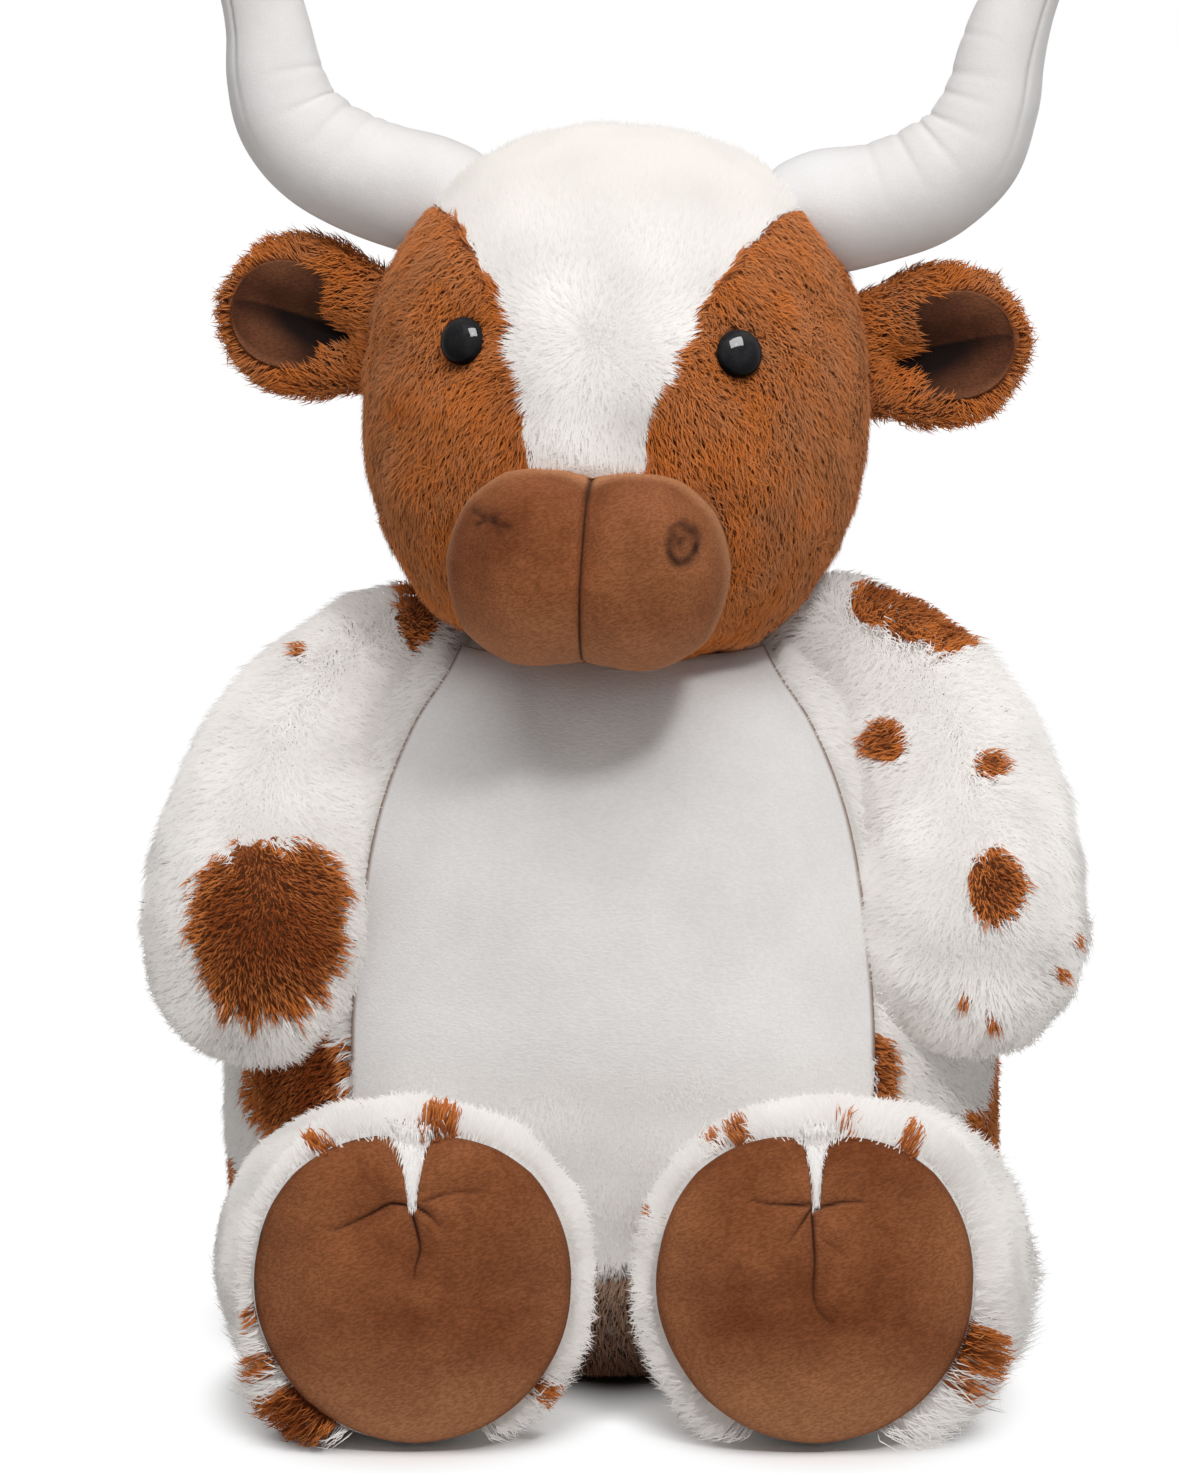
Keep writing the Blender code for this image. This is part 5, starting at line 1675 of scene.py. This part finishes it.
# %% [markdown]
# ## Horns
#
# A horn is a bent cone of white velour with one long seam. The cloth folds across where the cone
# bends, and the folds and the seam are pushed into the rings before the skin is made.

# %% Horns
def velour_material():
    made, tree, shader = new_material("white velour", 0.9, sheen=0.35, sheen_roughness=0.35, specular=0.12)
    nap = placed(tree, NAP, Grain=1800.0, Waves=300.0)
    base = two_toned(tree, 30.0, 0.2, linear(220, 217, 215), linear(228, 226, 225))
    # the stored shade is painted shade in the folds, and a darker line along the seam
    colour = shaded(tree, grained(tree, nap, 0.10, base, (0.7, 0.68, 0.67, 1)), linear(170, 164, 160))
    tree.links.new(colour, shader.inputs["Base Color"])
    raise_surface(tree, shader, nap.outputs["Height"], 0.35, 0.0006)
    return made


VELOUR = velour_material()
# share of the way along the horn, depth and width in millimetres
FOLDS = {
    "right": (
        *((0.30, 1.2, 1.6), (0.37, 1.4, 1.6), (0.45, 1.2, 1.5), (0.53, 0.9, 1.4)),
        *((0.26, 0.7, 1.4), (0.70, 0.5, 1.3), (0.80, 0.5, 1.2)),
    ),
    "left": (
        *((0.25, 0.9, 1.5), (0.33, 1.3, 1.6), (0.40, 1.5, 1.6), (0.47, 1.2, 1.5)),
        *((0.53, 1.0, 1.4), (0.58, 0.8, 1.3), (0.65, 0.6, 1.2)),
    ),
}
FOLD_SHARE, SEAM_DEEP = 0.45, 0.0006


def horn_cuts(word, rings, spoke):
    """How far each point of a horn is drawn in by its folds and its seam, and where the seam runs."""
    side = TOY_SIDES[word]
    centres = rings.mean(1)
    steps = np.concatenate(([0], np.cumsum(np.linalg.norm(np.diff(centres, axis=0), axis=1))))
    share = (steps / steps[-1])[:, None]
    # the folds lie on the inner side of the bend, which opens up and inwards
    around = spoke @ unit(np.array((-side * 0.75, 0, 0.66)))
    tilt = 0.010 * spoke[:, :, 1]
    cut = np.zeros(around.shape)
    for at, deep_mm, wide_mm in FOLDS[word]:
        near = (share + tilt - at) * steps[-1]
        cut += FOLD_SHARE * deep_mm * MM * bell(near, wide_mm * MM) * np.clip(around * 0.9 + 0.25, 0, 1)
    cut += lumps(rings.reshape(-1, 3), 0.012, 181 + side).reshape(cut.shape) * 0.0003
    seam = bell(spoke[:, :, 1] + 0.72, 0.035) * (around < 0.35) * ramp(share, 0.40, 0.60)
    return cut + SEAM_DEEP * seam, seam


for word in TOY_SIDES:
    rings = swept_rings(horn_route(word), (0, 1, 0), 200, 96)
    spokes = rings - rings.mean(1)[:, None]
    size = np.linalg.norm(spokes, axis=2, keepdims=True)
    spoke = spokes / np.maximum(size, 1e-9)
    cut, seam = horn_cuts(word, rings, spoke)
    rings = rings - spoke * cut[:, :, None] * ramp(size, 0, 0.008)
    horn = ring_piece(f"horn_{word}_velour", from_head(rings.reshape(-1, 3)).reshape(rings.shape))
    # painted shade in the folds, and a darker line along the seam
    shade = (0.3 * ramp(cut, 0, 0.0012) + 0.35 * seam).ravel()
    paint(horn, "shade", np.concatenate((shade, (0, 0))))
    horn.data.materials.append(VELOUR)
    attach(horn, f"horn_{word}")
    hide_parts(f"horn_{word}_skin", f"horn_{word}_stuffing")
print("folds", {word: len(rows) for word, rows in FOLDS.items()})

# %% [markdown]
# ## Ears
#
# An ear is a leaf of pile folded round a suede lining. The leaf is a flat bag that stands out from
# the head and tilts up; the lining is a cupped sheet in front of it with one deep fold, and the
# pile of the rim stands round it.

# %% Ear form
EAR_ROOT = (0.0688, 0.0060, 0.0162)
EAR_LENGTH, EAR_HALF, EAR_THICK = 0.0424, 0.0198, 0.0050
EAR_TILT = math.radians(10)
# shares of the length, of the half width and of the thickness
EAR_ROWS = (
    *((-0.05, 0.72, 0.70), (0.14, 0.82, 0.84), (0.36, 0.98, 0.92), (0.56, 1.00, 0.90)),
    *((0.76, 0.84, 0.76), (0.90, 0.54, 0.56), (0.975, 0.24, 0.36), (1.00, 0.02, 0.04)),
)
LINING_FROM, LINING_TO, LINING_HALF = 0.0040, 0.0408, 0.0150
LINING_WIDEST = 0.56


def from_ear(word, out, ahead, up):
    """Points given along the ear, forward of it and up it, in the row frame."""
    side = TOY_SIDES[word]
    along = np.array((side * math.cos(EAR_TILT), 0, math.sin(EAR_TILT)))
    rise = np.array((-side * math.sin(EAR_TILT), 0, math.cos(EAR_TILT)))
    root = np.array((side * EAR_ROOT[0], EAR_ROOT[1], EAR_ROOT[2]))
    forward = np.array((0, -1.0, 0))
    return from_head(root + out[:, None] * along + up[:, None] * rise + ahead[:, None] * forward)


def ear_ways(word):
    """Root of an ear, and the directions along it, forward of it and up it, in the row frame."""
    root, *ends = from_ear(word, *np.vstack((np.zeros(3), np.eye(3) * 0.01)).T)
    return root, [unit(end - root) for end in ends]


def fold_line(along):
    """Where the lining's deep fold runs across it, from -1 at the lower edge to 1 at the upper edge."""
    return -0.20 + 0.30 * along


def lining_half(along):
    far = np.abs(along - LINING_WIDEST) / np.where(along > LINING_WIDEST, 1 - LINING_WIDEST, LINING_WIDEST)
    return LINING_HALF * np.sqrt(np.clip(1 - far**2.3, 0.004, 1))


def hollow_of(out, up):
    """How far the front of the ear is drawn in along its fold."""
    along = (out - LINING_FROM) / (LINING_TO - LINING_FROM)
    from_fold = up - fold_line(along) * LINING_HALF
    ends = ramp(out, 0, 0.006) * ramp(out, EAR_LENGTH, EAR_LENGTH - 0.012)
    return 0.0070 * bell(from_fold, np.where(from_fold > 0, 0.0060, 0.0095)) * ends


def ear_front(out, up):
    """How far forward the ear's front stands."""
    table = smooth_rows(EAR_ROWS, 120)
    half, thick = [np.interp(out / EAR_LENGTH, table[:, 0], column) for column in table[:, 1:].T]
    swell = np.sqrt(np.clip(1 - (up / np.maximum(EAR_HALF * half, 1e-4)) ** 2, 0, 1))
    return EAR_THICK * thick * swell - hollow_of(out, up)


# %% Ear leaf and lining
EAR_RINGS, EAR_SIDES = 60, 64
LINING_COLUMNS, LINING_LINES = 61, 71


def ear_leaf(word):
    table = smooth_rows(EAR_ROWS, EAR_RINGS)
    turn = 2 * np.pi * (np.arange(EAR_SIDES) + 0.5) / EAR_SIDES
    out = np.repeat(table[:, 0] * EAR_LENGTH, EAR_SIDES)
    up = (table[:, 1:2] * EAR_HALF * np.cos(turn)).ravel()
    ahead = (table[:, 2:3] * EAR_THICK * np.sin(turn)).ravel()
    ahead = np.where(ahead > 0, ahead - hollow_of(out, up), ahead - 0.0010)
    rings = from_ear(word, out, ahead, up).reshape(EAR_RINGS, EAR_SIDES, 3)
    leaf = ring_piece(f"ear_{word}_leaf", rings)
    paint(leaf, "rust", np.ones(len(leaf.data.vertices)))
    leaf.data.materials.append(GROUND)
    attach(leaf, f"ear_{word}")
    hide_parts(f"ear_{word}")
    return leaf


def ear_lining(word):
    """Cupped suede sheet with painted shade along its fold and towards the head, and worn lighter at its
    edges.
    """

    def lining_place(across, along, layer):
        out = LINING_FROM + (LINING_TO - LINING_FROM) * along
        up = across * lining_half(along)
        edge = ramp(np.maximum(np.abs(across), np.abs(2 * along - 1.05)), 0.85, 1.0)
        return from_ear(word, out, ear_front(out, up) + 0.0010 + 0.0008 * edge - 0.0012 * layer, up)

    lining = sheet_piece(f"ear_{word}_suede", LINING_COLUMNS, LINING_LINES, lining_place)
    across, along = np.meshgrid(np.linspace(-1, 1, LINING_COLUMNS), np.linspace(0, 1, LINING_LINES))
    # painted shade: a sharp edge above the fold, a soft falloff below it, and darker towards the head
    below = fold_line(along) - across
    fold = bell(below, np.where(below > 0, 0.42, 0.07)) * np.clip(1.3 - along * 0.8, 0, 1)
    shade = np.clip(0.92 * fold + 0.85 * np.clip(1.05 - along * 1.35, 0, 1), 0, 1)
    paint(lining, "shade", np.tile(shade.ravel(), 2))
    paint(lining, "rub_and_sheen", np.tile((0.6 * ramp(np.abs(across), 0.75, 1.0)).ravel(), 2))
    lining.data.materials.append(LINING)
    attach(lining, f"ear_{word}")
    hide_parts(f"ear_{word}_lining")


# %% Ear pile
# height of the pile in front of the leaf and behind, and how far it sweeps
EAR_PILE_FRONT, EAR_PILE_BACK, EAR_PILE_SWEEP = 0.0030, 0.0042, 0.0050


def bare_lining(out, up, facing_ahead):
    """True where the leaf lies under its lining, which starts further out away from the fold."""
    along = (out - LINING_FROM) / (LINING_TO - LINING_FROM)
    bare_from = 0.014 - 0.010 * bell(up / LINING_HALF + 0.20, 0.22)
    return (facing_ahead > 0.1) & (out > bare_from) & (np.abs(up) < lining_half(along) * 0.97)


def ear_pile(word, leaf):
    """Pile that fans out from the ear's root, thicker and longer round its rim."""
    roots, facings = scatter(leaf, PER_CM2 * 3.4, 191)
    root_place, (along_way, ahead_way, rise_way) = ear_ways(word)
    out, up = (roots - root_place) @ along_way, (roots - root_place) @ rise_way
    ahead = facings @ ahead_way
    keep = ~bare_lining(out, up, ahead)
    keep &= np.linalg.norm(in_head(roots) / (np.array(HEAD_SIZE) - 0.002), axis=1) > 1
    keep &= (np.abs(ahead) < 0.75) | (np.arange(len(roots)) % 5 < 2)
    roots, facings, out, up, ahead = roots[keep], facings[keep], out[keep], up[keep], ahead[keep]
    across = (up / EAR_HALF)[:, None]
    comb = along_way * np.clip(out / EAR_LENGTH + 0.25, 0, 1.2)[:, None] + rise_way * across
    # near the root in front, the pile is brushed in over the lining
    inward = ((ahead > 0.25) & (out < 0.022))[:, None]
    comb = np.where(inward, comb - rise_way * across * 1.6 + along_way * 0.4, comb)
    length = np.random.default_rng(196).uniform(0.40, 1.05, len(roots))
    height, sweep = np.where(ahead > 0.3, EAR_PILE_FRONT, EAR_PILE_BACK) * length, EAR_PILE_SWEEP * length
    seed = 192 + TOY_SIDES[word]
    locks, _ = grow(roots, facings, comb, height, sweep, seed, stray=0.26, sway=0.18, pull=0.14)
    draw = np.random.default_rng(193)
    tones = 0.70 + 0.2 * lumps(roots, 0.008, 194) + draw.normal(size=len(roots)) * 0.22
    turned = unit(facings + np.where(ahead[:, None] > -0.35, 1.1, -0.8) * ahead_way)
    name, body = f"ear_{word}_pile", f"ear_{word}"
    coat = pile_piece(name, locks, turned, tones, PILE_WIDTH, body, RUST_PILE, 195, rise=0.0)


for word in TOY_SIDES:
    leaf = ear_leaf(word)
    ear_lining(word)
    ear_pile(word, leaf)

# %% [markdown]
# ## Neck and tail
#
# The neck is a short collar that the head nods on, hidden by the pile around it. The tail is a
# short furry cord with a rust tuft.

# %% Neck collar
# height, radius
COLLAR_ROWS = ((0.1702, 0.0175), (0.1708, 0.0250), (0.1745, 0.0278), (0.1860, 0.0280), (0.1945, 0.0280))
collar_route = [(HEAD_AT[0], HEAD_AT[1], *row) for row in COLLAR_ROWS]
collar = ring_piece("neck_collar", swept_rings(collar_route, (0, 1, 0), 24, 72))
paint(collar, "rust", np.zeros(len(collar.data.vertices)))
collar.data.materials.append(GROUND)
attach(collar, "neck")
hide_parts("neck_skin", "neck_stuffing")
print("collar rings", len(COLLAR_ROWS))

# %% Tail cord
TAIL_AT = np.array((0, 0.0925, 0.0560))
TAIL_RADIUS, TAIL_ROOT_HIDES = 0.0065, 0.0075
TAIL_END, TAIL_WAY = np.array((0, 0.1055, 0.0230)), unit(np.array((0, 0.00585, -0.01914)))
TAIL_ROUTE = (
    (*TAIL_AT, TAIL_RADIUS),
    (0, 0.09965, 0.04214, 0.0055),
    (*TAIL_END, 0.0052),
    (0, 0.1062, 0.0205, 0.0),
)
tail = ring_piece("tail_cord_cloth", swept_rings(rooted(TAIL_ROUTE, TAIL_RADIUS), (1, 0, 0), 60, 40))
paint(tail, "rust", np.zeros(len(tail.data.vertices)))
tail.data.materials.append(GROUND)
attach(tail, "tail")
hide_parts("tail_cord")

# %% Tail tuft
TUFT_LENGTH, TUFT_RADIUS, TUFT_OVERLAP = 0.020, 0.0078, 0.006
# shares of the length and of the radius
TUFT_ROWS = ((0.00, 0.76), (0.12, 0.80), (0.35, 1.0), (0.62, 0.92), (0.85, 0.55), (1.0, 0.0))
start = TAIL_END - TAIL_WAY * TUFT_OVERLAP
tuft_route = [(*(start + TAIL_WAY * TUFT_LENGTH * along), TUFT_RADIUS * size) for along, size in TUFT_ROWS]
tuft = ring_piece("tail_tuft_cloth", swept_rings(tuft_route, (1, 0, 0), 40, 40))
paint(tuft, "rust", np.ones(len(tuft.data.vertices)))
tuft.data.materials.append(GROUND)
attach(tuft, "tail")
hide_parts("tail_tuft")

# %% Tail pile
for name, piece, material, slot, length in (
    ("tail_pile", tail, WHITE_PILE, "white_spotted_fur", 0.0065),
    ("tuft_pile", tuft, RUST_PILE, "rust_fur", 0.0110),
):
    roots, facings = scatter(piece, PER_CM2 * 1.2, 201)
    keep = np.linalg.norm(roots - TAIL_AT, axis=1) > TAIL_ROOT_HIDES
    roots, facings = roots[keep], facings[keep]
    down = np.tile((0, 0.1, -1.0), (len(roots), 1))
    locks, _ = grow(roots, facings, down, length * 0.5, length * 0.9, 202)
    locks[:, :, 2] = np.maximum(locks[:, :, 2], FLOOR_GAP)
    tones = np.random.default_rng(203).uniform(0.1, 0.9, len(roots))
    coat = pile_piece(name, locks, facings, tones, PILE_WIDTH, "tail", material, 204)

# %% [markdown]
# ## Washers
#
# The lock washers under the skin keep their solids, and get a milky moulded finish.

# %% Washers
def nylon_material():
    made, tree, shader = new_material("milky nylon", 0.45, specular=0.4)
    colour = two_toned(tree, 200.0, 0.2, linear(226, 223, 214), linear(236, 234, 228))
    tree.links.new(colour, shader.inputs["Base Color"])
    return made


NYLON = nylon_material()
for word in TOY_SIDES:
    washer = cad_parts[f"eye_washer_{word}"]
    washer.data.materials.clear()
    washer.data.materials.append(NYLON)
print("washers in", NYLON.name)

# %% [markdown]
# ## Floor, world and lamps
#
# The toy sits on a white floor under a wide soft lamp and a smaller one, from above and in front,
# with the rest of the room as even light. A last small lamp lights only the eyes. The floor is lit
# and shaded near the toy and turns plain white further out, so that no horizon shows. Under the
# gap between the feet its colour is painted dark, a painted shadow where the shadow of both feet
# and the torso meets. Diffuse rays see the floor greyer than the camera does, so that it lights
# the toy's undersides less: a painted shade.

# %% Floor
# middle and reach of the ovals that keep their shadow: a foot, the torso, and the gap between the feet, where
# the floor also gets a painted shadow
FOOT_OVAL = ((0.055, -0.090, 0), (0.056, 0.082, 1))
TORSO_OVAL = ((0, 0, 0), (0.112, 0.108, 1))
GAP_OVAL = ((0, -0.072, 0), (0.045, 0.050, 1))


def oval_distance(tree, where, middle, reach):
    """Distance from the middle of an oval, 1 at its edge."""
    shift = [-m / r for m, r in zip(middle, reach)]
    links = {"Vector": where, "Location": shift, "Scale": [1 / r for r in reach]}
    oval = add(tree, "ShaderNodeMapping", links).outputs[0]
    return add(tree, "ShaderNodeVectorMath", {0: oval}, operation="LENGTH").outputs["Value"]


def floor_material():
    made, tree, shader = new_material("white floor", 0.9, specular=0.1)
    place = add(tree, "ShaderNodeTexCoord").outputs["Object"]
    split = add(tree, "ShaderNodeSeparateXYZ", {0: place})
    width = maths(tree, "ABSOLUTE", split.outputs["X"])
    folded = add(tree, "ShaderNodeCombineXYZ", {"X": width, "Y": split.outputs["Y"], "Z": 0.0}).outputs[0]
    feet, seat = oval_distance(tree, folded, *FOOT_OVAL), oval_distance(tree, place, *TORSO_OVAL)
    far = maths(tree, "MINIMUM", feet, seat)
    gap = oval_distance(tree, place, *GAP_OVAL)
    outer = maths(tree, "MULTIPLY", ranged(tree, far, 0.80, 1.08), ranged(tree, gap, 0.6, 1.1))
    path = add(tree, "ShaderNodeLightPath")
    # painted shadow: the floor's colour goes almost black under the gap between the feet; diffuse rays see it
    # greyer, which is painted shade on the toy's undersides
    dark, white, lit_by = (0.03, 0.024, 0.02, 1), (0.97, 0.97, 0.97, 1), (0.72, 0.71, 0.70, 1)
    shown = mixed(tree, ranged(tree, gap, 0.10, 0.85), dark, white)
    shown = mixed(tree, path.outputs["Is Diffuse Ray"], shown, lit_by)
    tree.links.new(shown, shader.inputs["Base Color"])
    plain = maths(tree, "MAXIMUM", path.outputs["Is Glossy Ray"], path.outputs["Is Transmission Ray"])
    plain = maths(tree, "MAXIMUM", plain, maths(tree, "MULTIPLY", outer, path.outputs["Is Camera Ray"]))
    glow = add(tree, "ShaderNodeEmission", {"Color": (1, 1, 1, 1), "Strength": 1.0})
    mix = add(tree, "ShaderNodeMixShader", {0: plain, 1: shader.outputs[0], 2: glow.outputs[0]})
    tree.links.new(mix.outputs[0], tree.nodes["Material Output"].inputs["Surface"])
    return made


FLOOR_HALF, FLOOR_DROP = 3.0, 0.0012
corners = np.array([(-1, -1, 0), (1, -1, 0), (1, 1, 0), (-1, 1, 0)]) * FLOOR_HALF
floor = mesh_piece("floor", corners, [(0, 1, 2, 3)])
floor.location.z = -FLOOR_DROP
floor.data.materials.append(floor_material())

# %% World
ROOM_LIGHT = 0.26
world = bpy.data.worlds.new("studio")
bpy.context.scene.world = world
world.use_nodes = True
tree = world.node_tree
background = tree.nodes["Background"]
path = add(tree, "ShaderNodeLightPath")
plain = maths(tree, "MAXIMUM", path.outputs["Is Camera Ray"], path.outputs["Is Glossy Ray"])
plain = maths(tree, "MAXIMUM", plain, path.outputs["Is Transmission Ray"])
tree.links.new(ranged(tree, plain, 0, 1, ROOM_LIGHT, 1.0), background.inputs["Strength"])
background.inputs["Color"].default_value = (1, 1, 1, 1)


# %% Lamps
def lamp(name, place, aim, width, height, watts):
    data = bpy.data.lights.new(name, "AREA")
    data.shape = "RECTANGLE"
    data.size, data.size_y, data.energy = width, height, watts
    made = bpy.data.objects.new(name, data)
    made.location = place
    made.rotation_euler = (Vector(aim) - Vector(place)).to_track_quat("-Z", "Y").to_euler()
    bpy.context.collection.objects.link(made)
    return made


lamp("key", (0.40, -1.10, 1.25), (0, 0, 0.20), 0.20, 0.18, 6.5)
lamp("top", (0.0, -0.66, 1.36), (0, 0, 0.15), 1.3, 0.9, 12.4)
# a small lamp that only the eyes are linked to, for the bright spot in each
shine = lamp("shine", (0.08, -0.25, 0.51), (0, -0.09, 0.288), 0.26, 0.20, 22.0)
shine.visible_camera = False
shine.light_linking.receiver_collection = DOMES
bpy.context.scene.view_settings.view_transform = "Standard"
